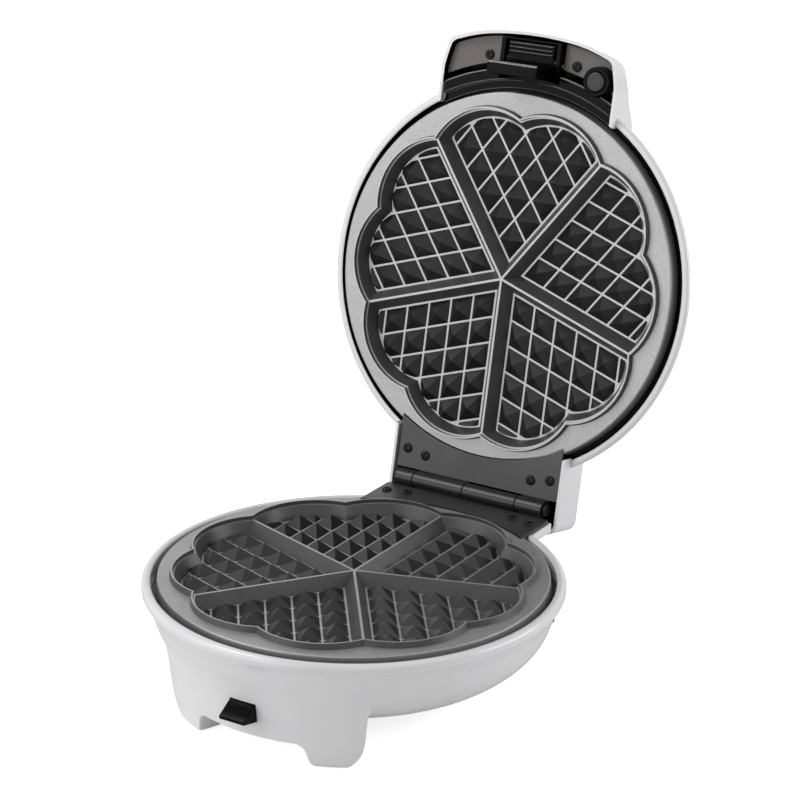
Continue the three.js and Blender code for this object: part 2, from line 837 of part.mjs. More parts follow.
function baseShell() {
  const top = apronLevel(1);
  const skirts = joined([
    apron(), footBlocks(0, -matingHeight + rubberPadHeight, top), hingeShelf(), neck(0), legs(0),
  ]);
  const hollows = joined([
    footBlocks(shellWall, -matingHeight - overrun, top), neck(rearWall), legs(rearWall), bowlCore(),
  ]);
  const leafRoom = box(
    -leafHalfWidth - clearance, leafHalfWidth + clearance, plateTrimRadius / 2, shelfRearY + overrun,
    shelfTop, overrun,
  );
  const below = box(
    -rimRadius, rimRadius, -rimRadius, 0, -matingHeight - overrun, -matingHeight + rubberPadHeight,
  );
  const coverBores = coverScrewPlaces().map(([x, y]) => disc(
    x, y, -bowlDepth - overrun, -bowlDepth + shellWall + overrun, screwBore,
  ));
  const leafBores = leafScrewPlaces().map(([x, y]) => disc(
    x, y, shelfTop - screwLength - clearance, shelfTop + overrun, screwBore,
  ));
  const glandBoreHole = bar(0, shelfRearY - rearWall - overrun, shelfRearY + overrun, -glandDepth, glandRadius + clearance);
  return skirts.subtract(hollows)
    .add(bowl())
    .add(springSeat())
    .subtract(joined([
      leafRoom, below, springSeatBore(), buttonOpenings(), glandBoreHole, ...coverBores, ...leafBores,
    ]));
}

// Screw with a square drive, head up, with the underside of its head at height zero.
function screwSolid() {
  const head = cone(0, 0, 0, screwHeadHeight, screwHeadRadius, screwHeadRadius - screwHeadHeight / 3);
  const shank = disc(0, 0, -screwLength, screwHeadHeight / 2, screwShankRadius, smallFacets / 2);
  const drive = disc(
    0, 0, screwHeadHeight - driveDepth, screwHeadHeight + overrun, driveRadius, driveFacets,
  );
  return head.add(shank).subtract(drive);
}

function screw(name, x, y, z, pointsUp) {
  const mesh = piece(name, screwSolid(), steelBlack());
  mesh.position.set(x, y, z);
  if (pointsUp) mesh.rotation.x = Math.PI;
  return mesh;
}

function bottomCover() {
  const top = -bowlDepth - clearance;
  const low = top - coverThickness;
  const radius = bowlFloorRadius - coverEdge;
  const plate = turned([[0, low], [radius - coverEdge, low], [radius, low + coverEdge], [radius, top], [0, top]]);
  const holes = coverScrewPlaces().map(([x, y]) => disc(x, y, low - overrun, top + overrun, screwBore));
  const vents = [-2, -1, 0, 1, 2].map((i) => box(
    i * ventPitch - ventWidth / 2, i * ventPitch + ventWidth / 2, -ventLength / 2, ventLength / 2,
    low - overrun, top + overrun,
  ));
  return plate.subtract(joined([...holes, ...vents]));
}

// Reflector pan behind a plate, hung by its flange, with its mouth towards the mating plane.
function reflectorPan() {
  const throat = ledgeRadius - panThroatInset;
  const floor = throat - panTaper;
  const flangeTop = flangeDepth + sheetMetal;
  const pan = turned([
    [0, panDepth - sheetMetal], [floor, panDepth - sheetMetal], [throat, flangeDepth],
    [flangeRadius, flangeDepth], [flangeRadius, flangeTop], [throat + sheetMetal, flangeTop],
    [floor + sheetMetal, panDepth], [0, panDepth],
  ], panFacets);
  const tailHalf = heaterEndX + 2 * heaterTubeRadius;
  const tailSlot = box(
    -tailHalf, tailHalf, heaterEndY + heaterTubeRadius, heaterEndY + heaterTailLength,
    panDepth - sheetMetal - overrun, panDepth + overrun,
  );
  const catchHalf = plateLugWidth / 2 + overrun;
  const catchSlot = box(
    -catchHalf, catchHalf, -throat - overrun, -buttonStemInnerY + buttonTravel + overrun,
    flangeTop + sheetMetal, panDepth + overrun,
  );
  return pan.subtract(tailSlot).subtract(catchSlot);
}

// Route of the tubular element: nearly a full ring with two straight ends towards the rear.
class HeaterRoute extends THREE.Curve {
  getPoint(t, target = new THREE.Vector3()) {
    const arc = radians(360 - heaterGapDegrees) * heaterRadius;
    const run = t * (arc + 2 * heaterTailLength);
    if (run < heaterTailLength) {
      return target.set(heaterEndX, heaterEndY + heaterTailLength - run, heaterHeight);
    }
    if (run > heaterTailLength + arc) {
      return target.set(-heaterEndX, heaterEndY + run - heaterTailLength - arc, heaterHeight);
    }
    const turn = radians(heaterGapDegrees / 2) + (run - heaterTailLength) / heaterRadius;
    return target.set(heaterRadius * Math.sin(turn), heaterRadius * Math.cos(turn), heaterHeight);
  }
}

function heaterTube() {
  const corners = Array.from({ length: heaterFacets }, (unused, i) => {
    const angle = ((i + 1 / 2) / heaterFacets) * 2 * Math.PI;
    return new THREE.Vector2(heaterTubeRadius * Math.cos(angle), heaterTubeRadius * Math.sin(angle));
  });
  const geometry = new THREE.ExtrudeGeometry(new THREE.Shape(corners), {
    steps: heaterSteps, bevelEnabled: false, extrudePath: new HeaterRoute(),
  });
  return toSolid(geometry);
}

function thermostat() {
  const top = -panDepth - clearance;
  return cone(
    0, 0, top - thermostatHeight, top, thermostatRadius - thermostatHeight / 4, thermostatRadius, barrelFacets,
  );
}

function thermalFuse() {
  return rod(-fuseLength / 2, fuseLength / 2, -fuseY, -panDepth - clearance - fuseRadius, fuseRadius);
}

function terminalBlock() {
  const low = -bowlDepth + shellWall + clearance;
  const high = low + terminalHeight;
  const y0 = coverHoleRadius + clearance;
  const body = box(-terminalWidth / 2, terminalWidth / 2, y0, y0 + terminalDepth, low, high);
  const wells = [-1, 0, 1].map((i) => disc(
    i * terminalWidth / 3, y0 + terminalDepth / 2, high - terminalHeight / 2, high + overrun, screwBore,
  ));
  return body.subtract(joined(wells));
}

// Strain relief of the mains cord, through the rear wall of the neck.
function cordGland() {
  const seat = shelfRearY + clearance;
  const end = seat + shellWall;
  const flange = bar(0, seat, end, -glandDepth, glandFlangeRadius, barrelFacets);
  const stem = bar(0, seat - rearWall - glandInside, end, -glandDepth, glandRadius);
  const bore = bar(0, seat - rearWall - glandInside - overrun, end + overrun, -glandDepth, glandBore);
  return flange.add(stem).subtract(bore);
}

function frontRubber(side) {
  const inset = shellWall + clearance;
  const both = footBlocks(inset, -matingHeight, apronLevel(1));
  const half = side > 0 ? [0, rimRadius] : [-rimRadius, 0];
  return both.intersect(box(
    half[0], half[1], -rimRadius, 0, -matingHeight - overrun, -matingHeight + rubberPlugHeight,
  ));
}

function rearRubber(side) {
  const seam = -matingHeight + rearFootHeight - clearance;
  const x0 = side > 0 ? shelfHalfWidth - legWidth : -shelfHalfWidth;
  const x1 = x0 + legWidth;
  const y0 = legRearY - legDeep;
  const inset = rearWall + clearance;
  const pad = box(x0, x1, y0, legRearY, -matingHeight, seam);
  const plug = box(
    x0 + inset, x1 - inset, y0 + inset, legRearY - inset, -matingHeight, -matingHeight + rubberPlugHeight,
  );
  return pad.add(plug);
}

// Lid shell: dome, hollow handle at the front and hollow tail round the hinge.
function domeOutside() {
  const side = domeShares.map(([radius, height]) => [radius * rimRadius, height * lidDomeHeight]);
  return [[rimRadius - edgeWall / 2, lidRimHeight], ...side, [0, lidDomeHeight]];
}

function domeSolid() {
  return turned([[0, lidRimHeight], ...domeOutside()]);
}

function domeHollow() {
  const outside = domeInnerShares.map(([radius, height]) => [radius * rimRadius, height * lidDomeHeight]);
  const inside = beside(outside, shellWall);
  return turned([
    [0, -overrun], [rimInnerRadius, -overrun], [rimInnerRadius, ledgeDepth], [ledgeRadius, ledgeDepth],
    [ledgeRadius, ledgeDepth + ledgeThickness], ...inside, [0, lidDomeHeight - shellWall],
  ]);
}

// Plan of the handle at a height, drawn in by an inset. Its walls lean as they rise.
function handlePlan(height, inset) {
  const rise = height - handleEdgeHeight;
  const half = handleHalfWidth + sideDraftShare * rise - inset;
  const corner = handleCornerY - frontDraftShare * rise - inset;
  const front = handleFrontY - frontDraftShare * rise - inset;
  const bow = handleBowShares.map(([across, up]) => [half * across, -corner - (front - corner) * up]);
  const root = -rimRadius / 2;
  const round = handleFrontY - handleCornerY;
  const right = [[half, root], [half, -corner + round], [half - round / 6, -corner + round / 4], ...bow];
  return [...right, ...mirroredOutline(right).slice(1)];
}

function handleBlock(inset, low, high) {
  return loft(handlePlan(low, inset), low, handlePlan(high, inset), high);
}

// Everything under the handle's upper surface, lowered by a drop.
function handleSide(drop, low) {
  const reach = handleFrontY + overrun;
  const outline = [
    [-reach, low], [-reach, handleTipHeight - drop], [-handleFrontY, handleTipHeight - drop],
    [-handleCornerY, handleCornerHeight - drop], [-rimInnerRadius, handleNeckHeight - drop],
    [-handleRootY, handleRootHeight - drop], [-rimRadius / 2, handleRootHeight - drop],
    [-rimRadius / 2, low],
  ];
  return sideways(outline, -rimRadius, rimRadius);
}

function handleSolid() {
  return handleBlock(0, handleEdgeHeight, lidDomeHeight).intersect(handleSide(0, handleEdgeHeight));
}

function handleHollow() {
  return handleBlock(edgeWall, -overrun, lidDomeHeight).intersect(handleSide(edgeWall, -overrun));
}

function tailPlan(height, inset) {
  const half = tailHalfWidth + sideDraftShare * height - inset;
  const rear = tailRearY - inset;
  const round = tailRound - inset;
  const root = rimRadius / 2;
  const right = [[half, root], [half, rear - round], [half - round / 3, rear - round / 3], [half - round, rear]];
  return [...right.reverse(), ...right.map(([x, y]) => [-x, y]).reverse()].reverse();
}

function tailBlock(inset, low, high) {
  return loft(tailPlan(low, inset), low, tailPlan(high, inset), high);
}

function lampPlaces() {
  return [[-lampSpacing / 2, -lampRadialPlace], [lampSpacing / 2, -lampRadialPlace]];
}

// Room in the lid's rim for the black front band.
function bandRoom() {
  const top = coverPlateTop + clearance;
  const low = bandInnerRadius - clearance;
  const high = bandOuterRadius + clearance;
  const ring = turned([[low, -overrun], [high, -overrun], [high, top], [low, top]], bandFacets);
  const half = leafHalfWidth + 2 * clearance;
  return ring.intersect(box(-half, half, -rimRadius - overrun * 4, -rimRadius / 2, -overrun * 2, top + overrun));
}

function lidShell() {
  const outer = joined([domeSolid(), handleSolid(), tailBlock(0, tailEdgeHeight, tailHeight)]);
  const domeWall = domeSolid().subtract(domeHollow());
  const inHandle = handleHollow().subtract(domeWall);
  const inTail = tailBlock(edgeWall, -overrun, tailHeight - edgeWall).subtract(domeWall);
  const tip = leafOffset + screwLength + clearance;
  const leafPosts = leafScrewPlaces().map(([x, y]) => disc(
    x, y, barrelRadius + clearance, tailHeight - edgeWall / 2, screwBore + seatWall,
  ));
  const leafBores = leafScrewPlaces().map(([x, y]) => disc(x, y, 0, tip, screwBore));
  const coverPosts = [-1, 1].map((side) => disc(
    side * coverScrewX, -coverScrewY, coverPlateTop + clearance, handleCornerHeight, screwBore + seatWall,
  ));
  const coverBores = [-1, 1].map((side) => disc(
    side * coverScrewX, -coverScrewY, 0, coverPlateHeight + screwLength, screwBore,
  ));
  const seatLow = lidSpringTop() + clearance;
  const seat = disc(roundButtonX, -roundButtonY, seatLow, handleCornerHeight, springRadius + seatWall);
  const seatBore = disc(
    roundButtonX, -roundButtonY, 0, seatLow + buttonTravel, springRadius + clearance,
  );
  const lampHoles = lampPlaces().map(([x, y]) => disc(
    x, y, panDepth + overrun, lidDomeHeight + overrun, lampRadius + clearance,
  ));
  const posts = joined([...leafPosts, ...coverPosts, seat]).intersect(outer);
  return outer.subtract(joined([domeHollow(), inHandle, inTail]))
    .add(posts)
    .subtract(joined([bandRoom(), ...leafBores, ...coverBores, seatBore, ...lampHoles]));
}

// Stepped black band at the front of the lid, between the plate and the cover plates.
function frontBand() {
  const step = bandInnerRadius + bandStep;
  const lowTop = bandLowHeight + bandThickness;
  const highTop = bandHighHeight + bandThickness;
  const ring = turned([
    [bandInnerRadius, bandLowHeight], [step, bandLowHeight], [step + clearance, bandHighHeight],
    [bandOuterRadius - clearance, bandHighHeight], [bandOuterRadius, bandHighHeight + clearance],
    [bandOuterRadius, coverPlateTop], [bandOuterRadius - bandThickness, coverPlateTop],
    [bandOuterRadius - bandThickness, highTop], [step, highTop], [step - clearance, lowTop],
    [bandInnerRadius, lowTop],
  ], bandFacets);
  const half = leafHalfWidth + clearance;
  const keep = box(-half, half, -bandOuterRadius - overrun, -rimRadius / 2, 0, lidDomeHeight);
  const latchHalf = latchRoomHalf + clearance;
  const latchRoom = box(
    -latchHalf, latchHalf, -bandOuterRadius - overrun, -bandInnerRadius - bandStep + clearance, 0, lidDomeHeight,
  );
  const buttonRoom = disc(
    roundButtonX, -roundButtonY, 0, lidDomeHeight, roundHousingRadius + clearance, barrelFacets,
  );
  return ring.intersect(keep).subtract(latchRoom).subtract(buttonRoom);
}

// Cover plate on one side of the latch.
function coverPlate(side) {
  const plan = handleBlock(edgeWall + clearance, coverPlateHeight, coverPlateTop);
  const low = coverPlateHeight - overrun;
  const high = coverPlateTop + overrun;
  const inner = disc(0, 0, low, high, bandOuterRadius + coverPlateGap, bandFacets);
  const near = latchRoomHalf + 2 * clearance;
  const x0 = side > 0 ? near : -rimRadius;
  const x1 = side > 0 ? rimRadius : -near;
  const button = disc(roundButtonX, -roundButtonY, low, high, roundHousingRadius + clearance, barrelFacets);
  const hole = disc(side * coverScrewX, -coverScrewY, low, high, screwBore);
  return plan.intersect(box(x0, x1, -handleFrontY, 0, low, high)).subtract(joined([inner, button, hole]));
}

// Height of the dome's outside where the lamps stand.
function lampHeight() {
  const reach = lampRadialPlace + lampRadius;
  const outline = domeOutside();
  const after = outline.findIndex(([radius]) => radius < reach);
  const [outerRadius, low] = outline[after - 1];
  const [innerRadius, high] = outline[after];
  return low + (high - low) * (outerRadius - reach) / (outerRadius - innerRadius);
}

function lampLens(x, y) {
  const top = lampHeight();
  return cone(x, y, top - lampDepth, top + lampProud, lampRadius, lampRadius - lampProud);
}

// Hinge leaves with two knuckles each, screwed to the two shells.
function knuckleSpans(first) {
  const spans = [];
  for (let i = first; i < knuckleEnds.length - 1; i += 2) {
    spans.push([knuckleEnds[i] + clearance / 2, knuckleEnds[i + 1] - clearance / 2]);
  }
  return spans;
}

function hingeLeaf(spans, low, high) {
  const flat = box(-leafHalfWidth, leafHalfWidth, plateTrimRadius / 2, leafRearY, low, high);
  const plateRoom = disc(
    0, 0, low - overrun, high + overrun, plateSkirtRadius + leafGap, shellFacets,
  );
  const holes = leafScrewPlaces().map(([x, y]) => disc(x, y, low - overrun, high + overrun, screwBore));
  const knuckles = spans.flatMap(([x0, x1]) => [
    rod(x0, x1, hingeAxisY, 0, barrelRadius, barrelFacets),
    box(x0, x1, leafRearY - overrun, hingeAxisY, low, high),
  ]);
  const x0 = knuckleEnds[0] - overrun;
  const x1 = knuckleEnds[knuckleEnds.length - 1] + overrun;
  const bore = rod(x0, x1, hingeAxisY, 0, pinRadius + clearance, barrelFacets);
  return flat.subtract(plateRoom)
    .subtract(joined(holes))
    .add(joined(knuckles))
    .subtract(bore);
}

function hingePin() {
  const x0 = knuckleEnds[0] - clearance;
  const x1 = knuckleEnds[knuckleEnds.length - 1] + clearance;
  return joined([
    rod(x0 - pinHeadLength, x1 + pinHeadLength, hingeAxisY, 0, pinRadius, barrelFacets),
    rod(x0 - pinHeadLength, x0, hingeAxisY, 0, pinHeadRadius, barrelFacets),
    rod(x1, x1 + pinHeadLength, hingeAxisY, 0, pinHeadRadius, barrelFacets),
  ]);
}

// Latch: a rocker with a ribbed thumb piece in front of its pin and a hook behind it.
function latchLever() {
  const thumb = box(-thumbHalfWidth, thumbHalfWidth, -thumbFrontY, -latchPinY, thumbLow, thumbHigh);
  const ribRoom = thumbFrontY - latchPinY - latchHubRadius;
  const pitch = ribRoom / ribCount;
  const ribs = Array.from({ length: ribCount }, (unused, i) => {
    const y = -thumbFrontY + pitch * (i + 1 / 2);
    return box(
      -thumbHalfWidth + ribHeight, thumbHalfWidth - ribHeight, y - pitch / 4, y + pitch / 4,
      thumbLow - ribHeight, thumbLow + ribHeight,
    );
  });
  const hub = rod(-latchHalfWidth, latchHalfWidth, -latchPinY, latchPinHeight, latchHubRadius, barrelFacets);
  const hook = sideways([
    [-hookFrontY, -hookDrop + hookNoseHeight / 4], [-hookFrontY + hookNoseHeight / 4, -hookDrop],
    [-hookRearY, -hookDrop], [-hookRearY, -hookDrop + hookNoseHeight],
    [-hookFrontY + hookWall, -hookDrop + hookNoseHeight], [-hookFrontY + hookWall, latchPinHeight],
    [-hookFrontY, latchPinHeight],
  ], -latchHalfWidth, latchHalfWidth);
  const cheekOutline = [
    [-hookFrontY, -hookDrop + hookNoseHeight / 2], [-hookRearY, -hookDrop + hookNoseHeight / 2],
    [-hookRearY, bandHighHeight], [-hookFrontY, latchPinHeight],
  ];
  const cheekInner = latchHalfWidth - hookWall;
  const rightCheek = sideways(cheekOutline, cheekInner, latchHalfWidth);
  const leftCheek = sideways(cheekOutline, -latchHalfWidth, -cheekInner);
  const reach = latchHalfWidth + overrun;
  const bore = rod(-reach, reach, -latchPinY, latchPinHeight, latchPinRadius + clearance);
  const springHalf = latchSpringHalf + clearance;
  const springRoom = rod(
    -springHalf, springHalf, -latchPinY, latchPinHeight, latchSpringRadius + clearance,
  );
  return joined([thumb, ...ribs, hub, hook, rightCheek, leftCheek]).subtract(bore).subtract(springRoom);
}

function latchSpring() {
  const reach = latchSpringHalf + overrun;
  return rod(-latchSpringHalf, latchSpringHalf, -latchPinY, latchPinHeight, latchSpringRadius)
    .subtract(rod(-reach, reach, -latchPinY, latchPinHeight, latchPinRadius + clearance));
}

function latchPin() {
  const half = latchRoomHalf + clearance;
  return rod(-half, half, -latchPinY, latchPinHeight, latchPinRadius);
}

function latchHousing() {
  const thumbSwing = Math.hypot(thumbFrontY - latchPinY, latchPinHeight - thumbLow);
  const railY = latchPinY + thumbSwing + clearance;
  const front = railY + housingRail;
  const railHigh = (housingLow + housingHigh) / 2;
  const ear = [
    [-front, housingLow], [-housingRearY, housingLow], [-housingRearY, housingHigh],
    [-latchPinY - housingWall, housingHigh], [-front, railHigh],
  ];
  const inner = latchRoomHalf - housingWall;
  const rail = box(-latchRoomHalf, latchRoomHalf, -front, -railY, housingLow, railHigh);
  const reach = latchRoomHalf + overrun;
  const bore = rod(-reach, reach, -latchPinY, latchPinHeight, latchPinRadius + clearance);
  return joined([sideways(ear, inner, latchRoomHalf), sideways(ear, -latchRoomHalf, -inner), rail])
    .subtract(bore);
}

// Front release button: wedge through the apron, stem into the bowl, catch beside the plate's lug.
function frontButton() {
  const face = -buttonFaceY();
  const wedge = sideways([
    [face + buttonSink, -buttonTopDepth], [face, -buttonTopDepth],
    [face - buttonProud, -buttonTopDepth - buttonFrontShares[0] * buttonHeight],
    [face - buttonProud, -buttonTopDepth - buttonFrontShares[1] * buttonHeight],
    [face, -buttonBottomDepth], [face + buttonSink, -buttonBottomDepth],
  ], -buttonWidth / 2, buttonWidth / 2);
  const half = buttonStemWidth / 2;
  const stem = box(
    -half, half, face, -buttonStemInnerY,
    -buttonStemDepth - buttonStemHeight / 2, -buttonStemDepth + buttonStemHeight / 2,
  );
  const post = box(-half, half, -buttonCatchY, -buttonStemInnerY, -buttonStemDepth, -catchTopDepth);
  return joined([wedge, stem, post]);
}

function frontSpring() {
  const y0 = -buttonStemInnerY + clearance;
  const y1 = y0 + frontSpringLength;
  return bar(0, y0, y1, -buttonStemDepth, springRadius)
    .subtract(bar(0, y0 - overrun, y1 + overrun, -buttonStemDepth, springBore));
}

// Round release button in the lid, its housing and its spring.
function roundButton() {
  const edge = roundButtonFace + roundButtonEdge;
  const head = cone(
    roundButtonX, -roundButtonY, roundButtonFace, edge,
    roundButtonRadius - roundButtonEdge, roundButtonRadius, barrelFacets,
  );
  const top = roundButtonFace + roundButtonLength;
  return head.add(disc(roundButtonX, -roundButtonY, edge, top, roundButtonRadius, barrelFacets));
}

function roundHousing() {
  const bore = disc(
    roundButtonX, -roundButtonY, roundHousingFace - overrun, coverPlateTop + overrun,
    roundButtonRadius + clearance, barrelFacets,
  );
  return disc(
    roundButtonX, -roundButtonY, roundHousingFace, coverPlateTop, roundHousingRadius, barrelFacets,
  ).subtract(bore);
}

function lidSpringTop() {
  return roundButtonFace + roundButtonLength + clearance + lidSpringLength;
}

function lidSpring() {
  const low = lidSpringTop() - lidSpringLength;
  const high = lidSpringTop();
  return disc(roundButtonX, -roundButtonY, low, high, springRadius)
    .subtract(disc(roundButtonX, -roundButtonY, low - overrun, high + overrun, springBore));
}

// The base stands still.
function buildBase() {
  const base = new THREE.Group();
  base.add(piece('base_shell', baseShell(), plasticWhite()));
  base.add(piece('bottom_cover', bottomCover(), plasticBlack()));
  const coverFace = -bowlDepth - clearance - coverThickness;
  coverScrewPlaces().forEach(([x, y], i) => {
    base.add(screw(`bottom_cover_screw_${i + 1}`, x, y, coverFace - clearance, true));
  });
  base.add(piece('lower_reflector', mirrored(reflectorPan()), aluminiumSheet()));
  base.add(piece('lower_heater', mirrored(heaterTube()), steelBright()));
  base.add(piece('thermostat', thermostat(), ceramicWhite()));
  base.add(piece('thermal_fuse', thermalFuse(), ceramicWhite()));
  base.add(piece('terminal_block', terminalBlock(), ceramicWhite()));
  base.add(piece('cord_gland', cordGland(), rubberBlack()));
  base.add(piece('lower_hinge_leaf', hingeLeaf(knuckleSpans(0), -barrelRadius, -leafOffset), hingeSteel()));
  base.add(piece('hinge_pin', hingePin(), steelBlack()));
  leafScrewPlaces().forEach(([x, y], i) => {
    base.add(screw(`lower_hinge_screw_${i + 1}`, x, y, -leafOffset + clearance, false));
  });
  base.add(piece('front_foot_left', frontRubber(-1), rubberBlack()));
  base.add(piece('front_foot_right', frontRubber(1), rubberBlack()));
  base.add(piece('rear_foot_left', rearRubber(-1), rubberBlack()));
  base.add(piece('rear_foot_right', rearRubber(1), rubberBlack()));
  const plate = piece('lower_plate', mirrored(heartPlate()), nonStick());
  plate.position.z = -matingGap / 2;
  base.add(plate);
  base.add(piece('front_release_button', frontButton(), plasticBlack()));
  base.add(piece('front_release_spring', frontSpring(), steelBright()));
  base.position.z = matingHeight;
  return base;
}

// Everything in the lid that the hinge swings, built as if the lid were shut.
function buildShutLid() {
  const shut = new THREE.Group();
  shut.add(piece('lid_shell', lidShell(), plasticWhite()));
  shut.add(piece('upper_reflector', reflectorPan(), aluminiumSheet()));
  shut.add(piece('upper_heater', heaterTube(), steelBright()));
  const plate = piece('upper_plate', heartPlate(), nonStick());
  plate.position.z = matingGap / 2;
  shut.add(plate);
  shut.add(piece('upper_hinge_leaf', hingeLeaf(knuckleSpans(1), leafOffset, barrelRadius), hingeSteel()));
  leafScrewPlaces().forEach(([x, y], i) => {
    shut.add(screw(`upper_hinge_screw_${i + 1}`, x, y, leafOffset - clearance, true));
  });
  shut.add(piece('lid_front_band', frontBand(), plasticBlack()));
  shut.add(piece('handle_cover_left', coverPlate(-1), plasticTaupe()));
  shut.add(piece('handle_cover_right', coverPlate(1), plasticTaupe()));
  [-1, 1].forEach((side, i) => {
    shut.add(screw(`handle_cover_screw_${i + 1}`, side * coverScrewX, -coverScrewY, coverPlateHeight - clearance, true));
  });
  shut.add(piece('latch_housing', latchHousing(), plasticBlack()));
  shut.add(piece('latch_lever', latchLever(), plasticBlack()));
  shut.add(piece('latch_pin', latchPin(), steelBright()));
  shut.add(piece('latch_spring', latchSpring(), steelBright()));
  shut.add(piece('lid_button_housing', roundHousing(), plasticBlack()));
  shut.add(piece('lid_release_button', roundButton(), plasticGrey()));
  shut.add(piece('lid_release_spring', lidSpring(), steelBright()));
  const lamps = [['power_lamp', lampRed()], ['ready_lamp', lampGreen()]];
  lampPlaces().forEach(([x, y], i) => {
    shut.add(piece(lamps[i][0], lampLens(x, y), lamps[i][1]));
  });
  return shut;
}

// The lid turned open about the hinge.
function buildLid() {
  const shut = buildShutLid();
  shut.position.y = -hingeAxisY;
  const lid = new THREE.Group();
  lid.add(shut);
  lid.rotation.x = -radians(lidOpenDegrees);
  lid.position.set(0, hingeAxisY, matingHeight);
  return lid;
}

// The whole machine, moved so that its box stands centred over the origin.
const waffleMaker = new THREE.Group();
waffleMaker.add(buildBase(), buildLid());
waffleMaker.updateMatrixWorld(true);
const extent = new THREE.Box3().setFromObject(waffleMaker, true);
waffleMaker.position.y = -(extent.min.y + extent.max.y) / 2;
waffleMaker.updateMatrixWorld(true);

export default waffleMaker;
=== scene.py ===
import logging
import math
from dataclasses import dataclass
from enum import Enum
from functools import reduce
from typing import Any, Callable, Iterable, Sequence

import bmesh
import bpy
from mathutils import Matrix, Vector


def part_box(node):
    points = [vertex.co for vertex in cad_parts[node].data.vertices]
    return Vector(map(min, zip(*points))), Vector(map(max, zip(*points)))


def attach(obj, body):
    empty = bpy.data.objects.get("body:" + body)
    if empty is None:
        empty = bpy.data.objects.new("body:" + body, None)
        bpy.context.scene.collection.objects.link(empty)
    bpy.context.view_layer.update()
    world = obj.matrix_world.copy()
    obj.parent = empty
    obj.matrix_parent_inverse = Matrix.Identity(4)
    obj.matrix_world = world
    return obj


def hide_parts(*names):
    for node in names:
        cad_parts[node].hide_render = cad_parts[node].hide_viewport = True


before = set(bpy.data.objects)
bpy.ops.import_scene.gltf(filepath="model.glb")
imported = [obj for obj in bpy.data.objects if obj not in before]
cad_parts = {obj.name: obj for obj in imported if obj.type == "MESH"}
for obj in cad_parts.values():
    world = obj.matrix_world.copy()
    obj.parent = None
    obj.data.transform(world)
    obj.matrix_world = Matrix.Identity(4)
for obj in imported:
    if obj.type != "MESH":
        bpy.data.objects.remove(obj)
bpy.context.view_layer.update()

# Lengths are millimetres in the shut frame: the mating plane of the two plates is height 0,
# -Y is the front with the handle, and the lid is built as if it lay shut on the base.
MM = 0.001
LOG = logging.getLogger("waffle_maker")

Flat = tuple[float, float]
Spot = tuple[float, float, float]
Span = tuple[float, float, float, float, float, float]


@dataclass(frozen=True)
class Sizes:
    """Sizes that several sub-assemblies share."""

    rim: float = 105.3
    rim_inner: float = 100.6
    ledge: float = 97.6
    ledge_depth: float = 10.95
    ledge_thick: float = 2.6
    wall: float = 2.5
    edge_wall: float = 1.6
    plate_gap: float = 0.15
    plate_skirt: float = 98.3
    clearance: float = 0.3
    hinge_y: float = 115.0
    barrel: float = 4.6
    open_degrees: float = 102.0
    leaf_half: float = 49.0
    band_inner: float = 99.6
    band_outer: float = 110.0
    cover_top: float = 8.8
    round_button_x: float = 40.6
    round_button_y: float = -108.6
    round_housing: float = 7.6
    latch_pin_y: float = -113.6
    latch_pin_height: float = 7.4
    latch_room_half: float = 17.7


SIZES = Sizes()


class Half(Enum):
    """The two halves of the machine, each with the angle that it stands open."""

    BASE = 0.0
    LID = SIZES.open_degrees

    def matrix(self) -> Matrix:
        """Shut-frame millimetres to metres in the row frame, hung on the CAD hinge pin.

        Returns:
            The matrix that places a form of this half.
        """
        low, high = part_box("hinge_pin")
        hinge = Matrix.Translation((0, (low.y + high.y) / 2, (low.z + high.z) / 2))
        turn = Matrix.Rotation(-math.radians(self.value), 4, "X")
        own = Matrix.Translation((0, -SIZES.hinge_y * MM, 0))
        return hinge @ turn @ own @ Matrix.Diagonal((MM, MM, MM, 1))


def smoothed(points: Sequence[Flat], steps: int = 6) -> list[Flat]:
    """Draws a fair curve through an outline's points.

    Args:
        points: Corners of an open outline.
        steps: Pieces between two corners.

    Returns:
        The points of a centripetal curve, with both ends kept.
    """
    own = [Vector(p) for p in points]
    own = [2 * own[0] - own[1], *own, 2 * own[-1] - own[-2]]
    drawn: list[Flat] = []
    for a, b, c, d in zip(own, own[1:], own[2:], own[3:]):
        t1 = math.sqrt((b - a).length)
        t2 = t1 + math.sqrt((c - b).length)
        t3 = t2 + math.sqrt((d - c).length)
        for i in range(steps):
            t = t1 + (t2 - t1) * i / steps
            a1, a2 = a.lerp(b, t / t1), b.lerp(c, (t - t1) / (t2 - t1))
            a3 = c.lerp(d, (t - t2) / (t3 - t2))
            b1, b2 = a1.lerp(a2, t / t2), a2.lerp(a3, (t - t1) / (t3 - t1))
            drawn.append(tuple(b1.lerp(b2, (t - t1) / (t2 - t1))))
    return [*drawn, tuple(own[-2])]


def arc(x: float, y: float, radius: float, start: float, end: float, steps: int = 5) -> list[Flat]:
    """Points on an arc, angles in degrees from +X.

    Args:
        x: Centre.
        y: Centre.
        radius: Radius.
        start: First angle.
        end: Last angle.
        steps: Pieces along it.

    Returns:
        The points from the first angle to the last.
    """
    turns = [math.radians(start + (end - start) * i / steps) for i in range(steps + 1)]
    return [(x + radius * math.cos(t), y + radius * math.sin(t)) for t in turns]


def beside(outline: Sequence[Flat], distance: float) -> list[Flat]:
    """An open outline moved to the left of its direction of travel.

    Args:
        outline: Points of the outline.
        distance: How far it moves.

    Returns:
        The moved points.
    """
    moved = []
    for i, (x, y) in enumerate(outline):
        before, after = outline[max(i - 1, 0)], outline[min(i + 1, len(outline) - 1)]
        along = Vector((after[0] - before[0], after[1] - before[1])).normalized()
        moved.append((x - along.y * distance, y + along.x * distance))
    return moved


